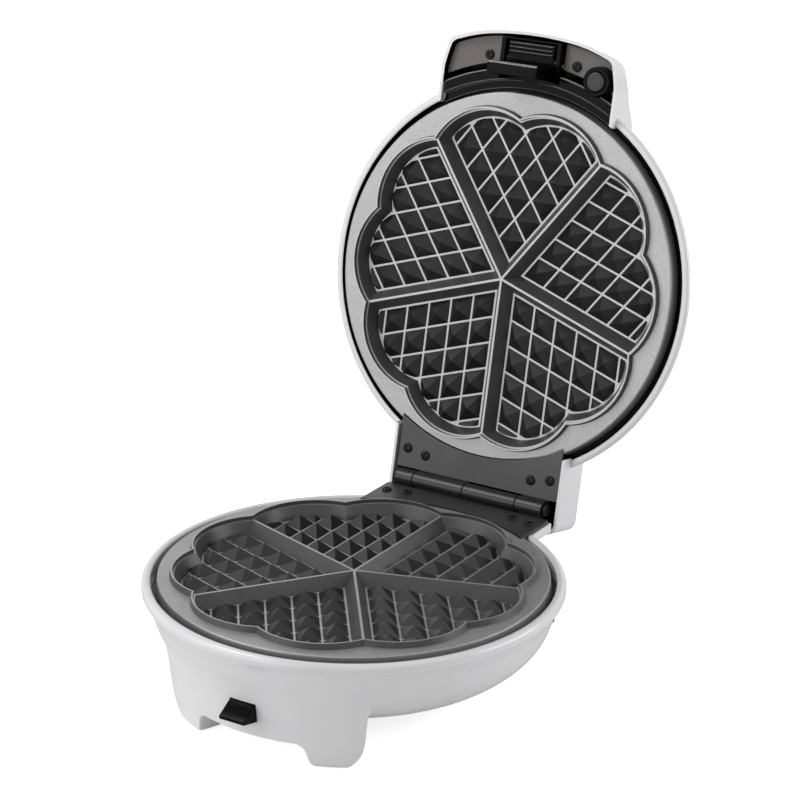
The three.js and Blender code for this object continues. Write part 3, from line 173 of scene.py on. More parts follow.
def level(outline: Sequence[Flat], height: float) -> float:
    """The first value of an outline of (value, falling height) pairs at a height.

    Args:
        outline: The pairs.
        height: The height to look at.

    Returns:
        The value there, or the nearer end's.
    """
    for (r0, z0), (r1, z1) in zip(outline, outline[1:]):
        if z1 <= height <= z0:
            return r0 if z0 == z1 else r0 + (r1 - r0) * (z0 - height) / (z0 - z1)
    return outline[-1][0] if height < outline[-1][1] else outline[0][0]


def polar(radius: float, degrees: float) -> Flat:
    """Point at an angle counted from +Y towards +X."""
    turn = math.radians(degrees)
    return radius * math.sin(turn), radius * math.cos(turn)


def eased(value: float, start: float, end: float) -> float:
    """0 before start, 1 after end and a soft step between them."""
    share = min(1.0, max(0.0, (value - start) / (end - start)))
    return share * share * (3 - 2 * share)


class Form:
    """A closed mesh that is worked like a moulding: joined, cut, kept within and rounded."""

    def __init__(self, points: Iterable[Spot], faces: Iterable[Sequence[int]]) -> None:
        """Builds the mesh, merges doubled points and turns its faces outwards.

        Args:
            points: Corners.
            faces: Corner numbers of each face.
        """
        self.mesh = bpy.data.meshes.new("form")
        self.mesh.from_pydata(list(points), [], [list(f) for f in faces])
        self._clean()

    @classmethod
    def of(cls, mesh: bpy.types.Mesh) -> "Form":
        """A form round a mesh that exists.

        Args:
            mesh: The mesh.

        Returns:
            The form.
        """
        made = cls.__new__(cls)
        made.mesh = mesh
        return made

    def _clean(self) -> None:
        """Merges doubled points, drops empty faces and turns the rest outwards."""
        work = bmesh.new()
        work.from_mesh(self.mesh)
        bmesh.ops.remove_doubles(work, verts=work.verts, dist=1e-4)
        bmesh.ops.dissolve_degenerate(work, edges=work.edges, dist=1e-5)
        bmesh.ops.recalc_face_normals(work, faces=work.faces)
        work.to_mesh(self.mesh)
        work.free()

    @classmethod
    def turned(cls, outline: Sequence[Flat], facets: int = 192) -> "Form":
        """A closed (radius, height) outline turned about the upright axis.

        Args:
            outline: Points of the closed outline.
            facets: Facets round the axis.

        Returns:
            The form.
        """
        count = len(outline)
        points = [
            (r * math.cos(a), r * math.sin(a), z)
            for a in (2 * math.pi * i / facets for i in range(facets))
            for r, z in outline
        ]
        faces = [
            (i * count + j, (i + 1) % facets * count + j,
             (i + 1) % facets * count + (j + 1) % count, i * count + (j + 1) % count)
            for i in range(facets) for j in range(count)
        ]
        return cls(points, faces)

    @classmethod
    def lofted(cls, rings: Sequence[Sequence[Spot]]) -> "Form":
        """A skin over rings with as many points each, closed by the first and last ring.

        Args:
            rings: The rings, in order.

        Returns:
            The form.
        """
        count = len(rings[0])
        faces: list[Sequence[int]] = [range(count), range((len(rings) - 1) * count, len(rings) * count)]
        for k in range(len(rings) - 1):
            for i in range(count):
                a, b = k * count + i, k * count + (i + 1) % count
                faces.append((a, b, b + count, a + count))
        return cls([p for ring in rings for p in ring], faces)

    @classmethod
    def sideways(cls, outline: Sequence[Flat], x0: float, x1: float) -> "Form":
        """A (y, z) outline run along X."""
        return cls.lofted([[(x, y, z) for y, z in outline] for x in (x0, x1)])

    @classmethod
    def upright(cls, outline: Sequence[Flat], z0: float, z1: float) -> "Form":
        """An (x, y) outline run along Z."""
        return cls.lofted([[(x, y, z) for x, y in outline] for z in (z0, z1)])

    @classmethod
    def box(cls, x0: float, x1: float, y0: float, y1: float, z0: float, z1: float) -> "Form":
        """A block between two opposite corners."""
        return cls.upright([(x0, y0), (x1, y0), (x1, y1), (x0, y1)], z0, z1)

    @classmethod
    def cone(cls, x: float, y: float, z0: float, z1: float, low: float, high: float,
             facets: int = 48) -> "Form":
        """An upright cone between two heights.

        Args:
            x: Place of its axis.
            y: Place of its axis.
            z0: Lower height.
            z1: Upper height.
            low: Radius at the lower height.
            high: Radius at the upper height.
            facets: Facets round the axis.

        Returns:
            The form.
        """
        turns = [2 * math.pi * (i + 0.5) / facets for i in range(facets)]
        return cls.lofted([
            [(x + r * math.cos(t), y + r * math.sin(t), z) for t in turns] for r, z in ((low, z0), (high, z1))
        ])

    @classmethod
    def rod(cls, x0: float, x1: float, y: float, z: float, radius: float, facets: int = 48) -> "Form":
        """A bar along X."""
        return cls.sideways(arc(y, z, radius, 0, 360 - 360 / facets, facets - 1), x0, x1)

    def worked(self, tool: "Form", operation: str) -> "Form":
        """Cuts, joins or intersects this form with another.

        Args:
            tool: The other form.
            operation: Name of the boolean operation.

        Returns:
            The new form.
        """
        objects = [bpy.data.objects.new(name, form.mesh) for name, form in (("blank", self), ("tool", tool))]
        for made in objects:
            bpy.context.scene.collection.objects.link(made)
        step = objects[0].modifiers.new("work", "BOOLEAN")
        step.operation, step.object = operation, objects[1]
        for solver in ("MANIFOLD", "EXACT"):
            step.solver = solver
            graph = bpy.context.evaluated_depsgraph_get()
            graph.update()
            mesh = bpy.data.meshes.new_from_object(objects[0].evaluated_get(graph))
            same = len(mesh.vertices) == len(self.mesh.vertices)
            if not same:
                break
            LOG.debug("the %s solver left a form as it was", solver)
        for made in objects:
            bpy.data.objects.remove(made)
        return Form.of(mesh)

    def __add__(self, other: "Form") -> "Form":
        """Both forms together."""
        return self.worked(other, "UNION")

    def __sub__(self, other: "Form") -> "Form":
        """This form with the other cut from it."""
        return self.worked(other, "DIFFERENCE")

    def __and__(self, other: "Form") -> "Form":
        """What both forms share."""
        return self.worked(other, "INTERSECT")

    def rounded(self, width: float, segments: int = 3, degrees: float = 32) -> "Form":
        """Rounds every edge that turns by more than an angle.

        Args:
            width: How far the rounding reaches from the edge.
            segments: Facets across it.
            degrees: The angle.

        Returns:
            The rounded form.
        """
        made = bpy.data.objects.new("blank", self.mesh)
        bpy.context.scene.collection.objects.link(made)
        step = made.modifiers.new("round", "BEVEL")
        step.width, step.segments = width, segments
        step.limit_method, step.angle_limit = "ANGLE", math.radians(degrees)
        graph = bpy.context.evaluated_depsgraph_get()
        graph.update()
        mesh = bpy.data.meshes.new_from_object(made.evaluated_get(graph))
        bpy.data.objects.remove(made)
        return Form.of(mesh)

    def moved(self, matrix: Matrix) -> "Form":
        """A copy that is turned or moved.

        Args:
            matrix: What turns, mirrors or moves it.

        Returns:
            The copy.
        """
        mesh = self.mesh.copy()
        mesh.transform(matrix)
        if matrix.determinant() < 0:
            mesh.flip_normals()
        return Form.of(mesh)

    def at(self, x: float, y: float, z: float) -> "Form":
        """A copy moved to a place."""
        return self.moved(Matrix.Translation((x, y, z)))

    def spun(self, degrees: float) -> "Form":
        """A copy turned about the upright axis, from +Y towards +X."""
        return self.moved(Matrix.Rotation(-math.radians(degrees), 4, "Z"))


def joined(forms: Iterable[Form]) -> Form:
    """All forms together as one."""
    return reduce(lambda whole, more: whole + more, forms)


def beside_each_other(forms: Sequence[Form]) -> Form:
    """Forms that don't touch, as one mesh without a boolean.

    Args:
        forms: The forms.

    Returns:
        One form that holds them all.
    """
    work = bmesh.new()
    for form in forms:
        work.from_mesh(form.mesh)
    mesh = bpy.data.meshes.new("form")
    work.to_mesh(mesh)
    work.free()
    return Form.of(mesh)


def block(plan: Callable[[float, float], list[Flat]], top: Callable[[float], float], low: float,
          radius: float) -> Form:
    """A moulded block that is alike left and right, with its upper edge rounded.

    Args:
        plan: Right half of the plan from the root to the middle, at a height and drawn in by an inset.
        top: Height of the upper surface at a place along Y.
        low: Height of the flat underside.
        radius: Radius of the upper edge.

    Returns:
        The closed form.
    """
    count = len(plan(low, 0.0))
    steps = 4
    turns = [math.pi / 2 * k / steps for k in range(steps + 1)]
    columns: list[list[Spot]] = []
    for i in range(count):
        column = [(*plan(low, 0.0)[i], low)]
        for t in turns:
            inset = radius * (1 - math.cos(t))
            x, y = plan(low, inset)[i]
            x, y = plan(top(y) - radius, inset)[i]
            column.append((max(x, 0.0), y, top(y) - radius * (1 - math.sin(t))))
        columns.append(column)
    left = [[(-x, y, z) for x, y, z in column] for column in reversed(columns[:-1])]
    rows = len(columns[0])
    whole = columns + left
    total = len(whole)
    faces: list[Sequence[int]] = []
    for i in range(total):
        for j in range(rows - 1):
            after = (i + 1) % total
            faces.append((i * rows + j, after * rows + j, after * rows + j + 1, i * rows + j + 1))
    for j in (0, rows - 1):
        for i in range(count - 1):
            a, b = i, i + 1
            c, d = total - 1 - b, total - 1 - a
            ring = [a * rows + j, b * rows + j, c * rows + j, d * rows + j]
            faces.append(list(dict.fromkeys(ring)))
    return Form([p for column in whole for p in column], faces)


def linear(colour: str) -> tuple[float, float, float, float]:
    """An sRGB hex colour as linear RGBA.

    Args:
        colour: The colour as "#rrggbb".

    Returns:
        Red, green, blue and full opacity.
    """
    shares = [int(colour[i:i + 2], 16) / 255 for i in (1, 3, 5)]
    curved = [share / 12.92 if share <= 0.04045 else ((share + 0.055) / 1.055) ** 2.4 for share in shares]
    return (*curved, 1.0)


def add_node(tree: bpy.types.NodeTree, kind: str, settings: dict[str, Any] | None = None,
             inputs: dict[str | int, Any] | None = None) -> bpy.types.Node:
    """Adds one node with its settings, and with values or links on its inputs.

    Args:
        tree: Node tree.
        kind: Blender's name of the node.
        settings: Properties of the node.
        inputs: Socket name or number to a value, or to the socket that feeds it.

    Returns:
        The node.
    """
    made = tree.nodes.new(kind)
    for name, value in (settings or {}).items():
        setattr(made, name, value)
    for name, value in (inputs or {}).items():
        if isinstance(value, bpy.types.NodeSocket):
            tree.links.new(value, made.inputs[name])
        else:
            made.inputs[name].default_value = value
    return made


# Sockets by number: Map Range takes its value at 0, the old range at 1 and 2 and the new one at 3
# and 4. Mix takes its share at 0 and two colours at 6 and 7, and gives the mixed colour at 2.


@dataclass(frozen=True)
class Finish:
    """A surface: two close tones that drift into each other over a fine relief.

    The pattern sizes are real lengths in millimetres.
    """

    name: str
    tone: str
    second_tone: str
    roughness: float
    rough_spread: float = 0.05
    metallic: float = 0.0
    ior: float = 1.5
    specular: float = 0.5
    coat: float = 0.0
    coat_roughness: float = 0.05
    drift: float = 30.0
    grain: float = 0.6
    relief: float = 0.01
    speck: float = 0.0
    speck_share: float = 0.5
    stretch: Spot = (1.0, 1.0, 1.0)

    def build(self) -> bpy.types.Material:
        """The material, made once and then shared.

        Returns:
            The material.
        """
        found = bpy.data.materials.get(self.name)
        if found:
            return found
        made = bpy.data.materials.new(self.name)
        made.use_nodes = True
        tree = made.node_tree
        tree.nodes.clear()
        place = add_node(tree, "ShaderNodeTexCoord").outputs["Object"]
        run = add_node(tree, "ShaderNodeMapping", inputs={"Vector": place, "Scale": self.stretch}).outputs[0]
        drift = add_node(tree, "ShaderNodeTexNoise", inputs={
            "Vector": place, "Scale": 1 / (self.drift * MM), "Detail": 2.0}).outputs["Fac"]
        grain = add_node(tree, "ShaderNodeTexNoise", inputs={
            "Vector": run, "Scale": 1 / (self.grain * MM), "Detail": 3.0}).outputs["Fac"]
        share = add_node(tree, "ShaderNodeMapRange", {"clamp": True}, {
            0: drift, 1: 0.3, 2: 0.7, 3: 0.0, 4: 1.0}).outputs[0]
        colour = add_node(tree, "ShaderNodeMix", {"data_type": "RGBA"}, {
            0: share, 6: linear(self.tone), 7: linear(self.second_tone)}).outputs[2]
        if self.speck:
            specks = add_node(tree, "ShaderNodeTexNoise", inputs={
                "Vector": place, "Scale": 1 / (self.speck * MM), "Detail": 1.0}).outputs["Fac"]
            amount = add_node(tree, "ShaderNodeMapRange", {"clamp": True}, {
                0: specks, 1: 0.38, 2: 0.62, 3: 1 - self.speck_share, 4: 1 + self.speck_share}).outputs[0]
            colour = add_node(tree, "ShaderNodeVectorMath", {"operation": "SCALE"}, {
                0: colour, "Scale": amount}).outputs[0]
        colour = self.with_painted_shade(tree, place, colour)
        rough = add_node(tree, "ShaderNodeMapRange", {"clamp": True}, {
            0: grain, 1: 0.25, 2: 0.75, 3: max(self.roughness - self.rough_spread, 0.03),
            4: self.roughness + self.rough_spread}).outputs[0]
        bump = add_node(tree, "ShaderNodeBump", inputs={
            "Height": grain, "Distance": self.relief * MM, "Strength": 1.0}).outputs[0]
        shader = add_node(tree, "ShaderNodeBsdfPrincipled", inputs={
            "Base Color": colour, "Roughness": rough, "Normal": bump, "Metallic": self.metallic,
            "IOR": self.ior, "Specular IOR Level": self.specular, "Coat Weight": self.coat,
            "Coat Roughness": self.coat_roughness})
        self.finish_off(tree, shader)
        add_node(tree, "ShaderNodeOutputMaterial", inputs={"Surface": shader.outputs[0]})
        return made

    def with_painted_shade(self, tree: bpy.types.NodeTree, place: bpy.types.NodeSocket,
                colour: bpy.types.NodeSocket) -> bpy.types.NodeSocket:
        """The colour, which only some finishes darken with painted shade."""
        return colour

    def finish_off(self, tree: bpy.types.NodeTree, shader: bpy.types.Node) -> None:
        """What only some finishes have."""


@dataclass(frozen=True)
class TintedLens(Finish):
    """Clear tinted plastic that lets light through."""

    through: float = 0.7

    def finish_off(self, tree: bpy.types.NodeTree, shader: bpy.types.Node) -> None:
        """Lets most of the light into the lens."""
        shader.inputs["Transmission Weight"].default_value = self.through


@dataclass(frozen=True)
class PanSheet(Finish):
    """Pressed aluminium sheet of a pan, with painted shade that darkens its flange in the gap round the
    plate.
    """

    half: Half = Half.BASE
    unshaded_to: float = 94.5
    full_shade_from: float = 96.5
    shade_tone: str = "#0d0c0b"

    def with_painted_shade(self, tree: bpy.types.NodeTree, place: bpy.types.NodeSocket,
                colour: bpy.types.NodeSocket) -> bpy.types.NodeSocket:
        """Darkens the sheet by its distance from the axis of its half, as painted shade.

        Args:
            tree: Node tree.
            place: Coordinates on the piece.
            colour: The colour without the painted shade.

        Returns:
            The colour with the painted shade.
        """
        own = self.half.matrix()
        axis = (own.to_3x3() @ Vector((0, 0, 1))).normalized()
        arm = add_node(tree, "ShaderNodeVectorMath", {"operation": "SUBTRACT"}, {
            0: place, 1: tuple(own.translation)}).outputs[0]
        across = add_node(tree, "ShaderNodeVectorMath", {"operation": "CROSS_PRODUCT"}, {
            0: arm, 1: tuple(axis)}).outputs[0]
        radius = add_node(tree, "ShaderNodeVectorMath", {"operation": "LENGTH"}, {0: across}).outputs["Value"]
        share = add_node(tree, "ShaderNodeMapRange", {"clamp": True}, {
            0: radius, 1: self.unshaded_to * MM, 2: self.full_shade_from * MM, 3: 0.0, 4: 1.0}).outputs[0]
        return add_node(tree, "ShaderNodeMix", {"data_type": "RGBA"}, {
            0: share, 6: colour, 7: linear(self.shade_tone)}).outputs[2]


# Silver-white ABS, injection moulded in a polished tool: an even gloss with a faint orange peel.
WHITE_ABS = Finish("moulded_abs_silver_white", "#ebebec", "#e7e7e9", 0.2, 0.03, ior=1.53, coat=0.25,
                   drift=60, grain=3.5, relief=0.006)
# Black ABS from the same kind of tool: deep black, with the fine scuffs that gloss black takes.
BLACK_ABS = Finish("moulded_abs_black", "#050505", "#080808", 0.16, 0.05, ior=1.5, specular=0.06,
                   drift=25, grain=0.9, relief=0.004)
# Black ABS with a spark-eroded texture, where a finger holds it.
BLACK_GRIP = Finish("eroded_abs_black", "#050505", "#090909", 0.22, 0.05, specular=0.06,
                    drift=15, grain=0.4, relief=0.006)
# The same black ABS, painted grey on the raised edges that face the lamps: a painted highlight.
EDGE_HIGHLIGHT_ABS = Finish("abs_edge_painted_highlight", "#6a6a6c", "#808082", 0.25, 0.06, specular=0.4, drift=6, grain=0.4,
                     relief=0.004)
# Taupe ABS, moulded with a fine spark-eroded texture: satin, no clear reflection.
TAUPE_ABS = Finish("eroded_abs_taupe", "#645e59", "#6c6662", 0.42, 0.05, specular=0.35,
                   drift=22, grain=0.35, relief=0.02)
# Grey ABS, satin from the same kind of tool.
GREY_ABS = Finish("eroded_abs_grey", "#2f2f31", "#37373a", 0.3, 0.05, specular=0.3, drift=8, grain=0.4,
                  relief=0.01)
# Non-stick spray on cast aluminium, on the level ring: a light grey stipple. The droplets are
# about 0.1 mm and are drawn 0.55 mm wide, which is as coarse as they need to be to show.
NONSTICK_FACE = Finish("sprayed_nonstick_ring", "#9d9d9e", "#a4a4a5", 0.42, 0.05, metallic=0.5,
                       drift=40, grain=0.5, relief=0.008, speck=0.55, speck_share=0.12)
# The same spray on the narrow level lines, which the mould leaves flat, painted lighter than the ring as a
# painted highlight.
NONSTICK_LINE_HIGHLIGHT = Finish("sprayed_nonstick_lines", "#a6a6a7", "#acacad", 0.4, 0.05, metallic=0.5,
                       drift=40, grain=0.5, relief=0.006, speck=0.55, speck_share=0.05)
# The same spray on the pyramids, painted dark as the shade on their slopes.
NONSTICK_SLOPE_SHADE = Finish("sprayed_nonstick_slopes_painted_shade", "#151516", "#1b1b1c", 0.36, 0.08, specular=0.42,
                        drift=25, grain=0.5, relief=0.012, speck=0.55, speck_share=0.12)
# The same spray on the steep walls of the pockets, painted darker than the ring as shade and lighter than the
# pyramids as the light that falls on them.
NONSTICK_WALL_LIGHT_AND_SHADE = Finish("sprayed_nonstick_walls", "#404041", "#4a4a4b", 0.36, 0.08, specular=0.42,
                       drift=18, grain=0.5, relief=0.012, speck=0.55, speck_share=0.12)
# The same spray on the upright skirt, painted a mid grey as the shade that falls on it.
NONSTICK_SKIRT_SHADE = Finish("sprayed_nonstick_skirt_painted_shade", "#767677", "#7e7e7f", 0.4, 0.06, metallic=0.4,
                        drift=40, grain=0.5, relief=0.01, speck=0.55, speck_share=0.1)
# Bare back of the casting, oxidised by heat.
CAST_BACK = Finish("cast_aluminium_back", "#5d5d5f", "#6b6b6d", 0.5, 0.1, metallic=0.6,
                   drift=18, grain=0.8, relief=0.04)
# Pressed steel under a dark satin powder coat.
COATED_STEEL = Finish("powder_coated_steel", "#3b3a3b", "#444344", 0.36, 0.05, metallic=0.35,
                      drift=30, grain=0.3, relief=0.008, speck=0.7, speck_share=0.08)
# Rolled knuckles of the hinge, the same coat worn smoother.
ROLLED_STEEL = Finish("powder_coated_steel_rolled", "#121213", "#18181a", 0.34, 0.03, metallic=0.2,
                      drift=20, grain=0.4, relief=0.006)
# Screws and hinge pin: steel under a dull black oxide skin that hides the metal.
BLACKENED_STEEL = Finish("oxide_blackened_steel", "#1c1c1e", "#262628", 0.36, 0.08, specular=0.14,
                         drift=3, grain=0.4, relief=0.008)
# The walls and bottom of a cross recess, painted near black as the shade that falls in it.
RECESS_SHADE_STEEL = Finish("oxide_blackened_steel_recess", "#020202", "#040404", 0.6, 0.05, specular=0.04, drift=2,
                      grain=0.4, relief=0.008)
# Latch pin, springs and heater sheaths: drawn steel, with lines along the wire.
DRAWN_STEEL = Finish("drawn_steel_bright", "#b9babd", "#a5a6aa", 0.24, 0.07, metallic=1.0,
                     drift=12, grain=0.3, relief=0.006, stretch=(0.15, 1.0, 1.0))
# Reflector pans: bright sheet with rolling lines, painted brown to black on the flange as the shade in the
# gap round the plate.
LOWER_PAN, UPPER_PAN = (
    PanSheet(f"pressed_aluminium_pan_{half.name.lower()}", "#cfd0d2", "#c3c4c7", 0.28, 0.08, metallic=1.0,
             drift=30, grain=0.5, relief=0.01, stretch=(1.0, 0.1, 1.0), half=half) for half in Half)
# Steatite: unglazed, chalky, faintly mottled.
STEATITE = Finish("fired_steatite", "#d8d2c4", "#e2ddd1", 0.7, 0.06, drift=4, grain=0.4, relief=0.03)
# Moulded rubber feet and gland: dull black with a talc bloom.
RUBBER = Finish("moulded_rubber", "#19191a", "#232324", 0.75, 0.08, specular=0.3, drift=6, grain=0.5,
                relief=0.03)
# Lamp lenses: clear tinted polycarbonate.
RED_LENS = TintedLens("tinted_polycarbonate_red", "#b3201c", "#9c1815", 0.08, 0.02, ior=1.58, drift=3,
                      grain=1.0, relief=0.002)
GREEN_LENS = TintedLens("tinted_polycarbonate_green", "#1f8a3c", "#187030", 0.08, 0.02, ior=1.58, drift=3,
                        grain=1.0, relief=0.002)


def dressed(name: str, form: Form, half: Half, finishes: Sequence[Finish], body: str,
            nodes: Sequence[str] = (), zone: Callable[[bpy.types.MeshPolygon], int] | None = None,
            sharp: float = 34.0) -> bpy.types.Object:
    """Places a finished form as a piece of the machine.

    Args:
        name: Piece name.
        form: Its form in the shut frame.
        half: The half of the machine that it stands in.
        finishes: Its finishes; zone picks among them.
        body: CAD body that it rides on.
        nodes: CAD nodes that it stands for.
        zone: Gives a face's finish number from the face in the shut frame.
        sharp: Edges that turn by more than this many degrees stay sharp.

    Returns:
        The piece.
    """
    mesh = form.mesh.copy()
    mesh.name = name
    mesh.materials.clear()
    for finish in finishes:
        mesh.materials.append(finish.build())
    picks = [zone(face) if zone else face.material_index for face in mesh.polygons]
    mesh.polygons.foreach_set("material_index", picks)
    mesh.transform(half.matrix())
    mesh.shade_smooth()
    mesh.set_sharp_from_angle(angle=math.radians(sharp))
    piece = bpy.data.objects.new(name, mesh)
    bpy.context.scene.collection.objects.link(piece)
    weigh = piece.modifiers.new("even_shading", "WEIGHTED_NORMAL")
    weigh.keep_sharp = True
    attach(piece, body)
    if nodes:
        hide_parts(*nodes)
    LOG.info("%s: %d faces on %s", name, len(mesh.polygons), body)
    return piece


def refinished(node: str, finish: Finish, sharp: float = 30.0) -> None:
    """Gives a CAD node that stays its finish.

    Args:
        node: CAD node.
        finish: Its finish.
        sharp: Edges that turn by more than this many degrees stay sharp.
    """
    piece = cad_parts[node]
    piece.data.materials.clear()
    piece.data.materials.append(finish.build())
    piece.data.shade_smooth()
    piece.data.set_sharp_from_angle(angle=math.radians(sharp))
    LOG.info("%s: CAD solid in %s", node, finish.name)


@dataclass
class BaseShell:
    """Bowl with a rolled rim, front apron with two feet, and the bracket under the hinge."""

    foot_deep: float = 15.0
    shell_bottom: float = -63.4
    arch_height: float = -51.5
    side_start: float = 36.3
    side_end: float = 37.9
    hem: float = 1.0
    foot_hem: float = 3.0
    foot_blend: Flat = (28.0, 31.5)
    skin_start: float = -10.6
    skin_rows: int = 17
    hem_rows: int = 5
    inner_break: float = 0.7
    inner_rows: int = 7
    joint_top: float = -24.0
    joint_low: float = -51.0
    joint_step: float = 0.2
    joint_steps: int = 139
    joint_lap: float = 0.8
    bowl_rows_below: int = 14
    search_top: float = -37.0
    search_step: float = 0.1
    side_low: float = -38.0
    coarse_step: float = 1.5
    coarse_gap: Flat = (15.3, 39.7)
    fine_start: float = 15.6
    fine_step: float = 0.3
    fine_count: int = 80
    roll: tuple[Flat, ...] = ((100.7, -4.9), (101.4, -4.25), (102.6, -4.0), (103.9, -4.35), (104.9, -5.3))
    seam: tuple[Flat, ...] = ((105.05, -9.1), (104.5, -9.65), (103.9, -9.8))
    floor_edge: tuple[Flat, ...] = ((47.0, -52.0), (47.0, -49.5), (57.0, -49.5))
    shelf_half: float = 50.0
    shelf_height: Flat = (-10.1, -4.9)
    neck_half: float = 40.0
    neck_wall: float = 3.0
    neck_span: Flat = (72.0, 112.4)
    neck_height: Flat = (-48.0, -9.0)
    neck_hollow: Flat = (-51.0, -7.0)
    neck_open: float = 60.0
    leg_near: float = 30.0
    leg: tuple[Flat, ...] = ((72, -48), (82, -27), (110, -27), (119, -44), (119, -60), (99, -60), (99, -48))
    leg_hollow: tuple[Flat, ...] = (
        (70, -45), (82, -30), (107, -30), (116, -45), (116, -66), (102, -66), (102, -45))
    core_top: tuple[Flat, ...] = ((0, 2), (101.85, 2), (101.85, -11))
    core_low: Flat = (0, -50.75)
    gland_radius: float = 6.3
    gland_place: Spot = (0, 108, -30)
    hinge_room: Span = (-49.3, 49.3, 47, 114, -4.9, 2)
    button_room: Span = (-7.55, 7.55, -106, -87.26, -43.5, -33.5)
    stem_room: Span = (-4.8, 4.8, -100, -77.1, -41.8, -35.2)
    bowl_corners: tuple[Flat, ...] = (
        (103.6, -10.2), (101.2, -16.0), (99.4, -22.0), (97.0, -28.0), (92.6, -34.0), (85.5, -40.0),
        (75.0, -45.5), (64.0, -50.4), (58.0, -52.0))
    apron_corners: tuple[Flat, ...] = (
        (103.6, -10.2), (101.5, -14.0), (99.5, -21.0), (97.8, -26.0), (96.6, -35.0), (95.6, -44.0),
        (94.5, -54.0), (93.0, -64.0))
    inner_edge: tuple[Flat, ...] = ((27.0, -51.5), (29.4, -53.5), (31.0, -57.7), (31.9, -62.0), (34.6, -64.0))
    outer_edge: tuple[Flat, ...] = (
        (45.9, -64.0), (49.0, -63.0), (52.1, -60.0), (54.5, -56.0), (56.3, -48.0), (57.5, -38.0))

    def rim_rows(self) -> list[Flat]:
        """Ledge, inner wall and rolled rim, from the ledge's underside out to the seam.

        Returns:
            Points as (radius, height).
        """
        roll = smoothed([(SIZES.rim_inner, -6.0), *self.roll, (SIZES.rim, -6.9)], 3)
        seam = [(SIZES.rim, -8.2), *self.seam]
        ledge = [(SIZES.ledge, -SIZES.ledge_depth - SIZES.ledge_thick), (SIZES.ledge, -SIZES.ledge_depth),
                 (SIZES.rim_inner, -SIZES.ledge_depth)]
        return [*ledge, *((min(r, SIZES.rim), z) for r, z in roll), *seam]

    def floor_rows(self) -> list[Flat]:
        """From the edge of the floor through its opening and up the inside of the bowl."""
        inside = beside(smoothed(self.bowl_corners[1:], 2), -SIZES.wall)[::-1]
        return [*self.floor_edge, *inside[2:]]

    def low_edge(self) -> list[Flat]:
        """Lower outline of the apron from the middle outwards, as (x, height).

        Returns:
            The outline's points.
        """
        low = [(x, max(z, self.shell_bottom)) for x, z in smoothed(self.inner_edge, 5)]
        high = [(x, max(z, self.shell_bottom)) for x, z in smoothed(self.outer_edge, 6)]
        return [(0.0, self.arch_height), *low, *high]

    def bottom_at(self, degrees: float) -> float:
        """Height of the apron's lower edge at an angle from the front.

        Args:
            degrees: The angle.

        Returns:
            The height.
        """
        outline, edge = smoothed(self.apron_corners, 6), self.low_edge()
        side = abs(math.sin(math.radians(degrees)))
        z = self.search_top
        while z > self.shell_bottom:
            x = level(outline, z) * side
            if x >= edge[-1][0]:
                return self.side_low
            for (x0, z0), (x1, z1) in zip(edge, edge[1:]):
                if x0 <= x <= x1:
                    low = z0 if x1 == x0 else z0 + (z1 - z0) * (x - x0) / (x1 - x0)
                    break
            if z <= low:
                return low
            z -= self.search_step
        return self.shell_bottom

    def apron_rows(self, degrees: float) -> list[Flat]:
        """Skin of the apron at an angle: down outside, round the hem, up inside and under the bowl.

        Args:
            degrees: The angle.

        Returns:
            Points as (radius, height), as many at every angle.
        """
        outside, bowl = smoothed(self.apron_corners, 6), smoothed(self.bowl_corners, 6)
        bottom = self.bottom_at(degrees)
        across = level(outside, bottom) * abs(math.sin(math.radians(degrees)))
        foot = eased(across, *self.foot_blend)
        hem = self.hem + (self.foot_hem - self.hem) * foot
        deep = SIZES.wall + (self.foot_deep - SIZES.wall) * foot
        start, stop, count = self.skin_start, bottom + hem, self.skin_rows
        heights = [start + (stop - start) * i / count for i in range(count + 1)]
        rows = [(level(outside, z), z) for z in heights]
        edge = level(outside, stop)
        rows += [(edge - hem + hem * math.cos(t), stop - hem * math.sin(t))
                 for t in (math.pi / 2 * k / self.hem_rows for k in range(1, self.hem_rows + 1))]
        inner = level(outside, bottom) - deep
        small = self.inner_break
        rows += [(inner + small, bottom), (inner, bottom + small)]
        joint = self.joint_height(outside, bowl, deep)
        joint = max(joint, bottom + 1.0) if bottom < joint else joint
        top = joint + self.joint_lap
        rows += [(level(outside, z) - deep, z) for z in (
            bottom + small + (top - bottom - small) * i / self.inner_rows
            for i in range(1, self.inner_rows + 1))]
        below = [(r, z) for r, z in bowl if z < joint - 0.3]
        return rows + self.spread([(level(bowl, joint) - 0.05, joint), *below], self.bowl_rows_below)

    def joint_height(self, outside: Sequence[Flat], bowl: Sequence[Flat], deep: float) -> float:
        """Height at which the inside of the apron meets the bowl.

        Args:
            outside: Outside of the apron.
            bowl: Outside of the bowl.
            deep: Depth of the apron's wall or foot.

        Returns:
            The height.
        """
        for i in range(self.joint_steps):
            z = self.joint_top - self.joint_step * i
            if level(bowl, z) <= level(outside, z) - deep or z <= self.joint_low:
                return z
        return self.joint_low

    @staticmethod
    def spread(outline: Sequence[Flat], count: int) -> list[Flat]:
        """Points at even steps along an outline, both ends included.

        Args:
            outline: The outline.
            count: How many points.

        Returns:
            The points.
        """
        lengths = [0.0]
        for a, b in zip(outline, outline[1:]):
            lengths.append(lengths[-1] + math.dist(a, b))
        found = []
        for i in range(count):
            want = lengths[-1] * i / (count - 1)
            k = next((k for k in range(1, len(lengths)) if lengths[k] >= want - 1e-9), len(lengths) - 1)
            share = (want - lengths[k - 1]) / max(lengths[k] - lengths[k - 1], 1e-9)
            a, b = Vector(outline[k - 1]), Vector(outline[k])
            found.append(tuple(a.lerp(b, share)))
        return found

    def bowl_rows(self, count: int) -> list[Flat]:
        """The bare bowl with as many rows as the apron's skin.

        Args:
            count: How many rows.

        Returns:
            Points as (radius, height).
        """
        bowl, start = smoothed(self.bowl_corners, 6), self.skin_start
        below = [(r, z) for r, z in bowl if z < start - 0.2]
        return self.spread([(level(bowl, start), start), *below], count)

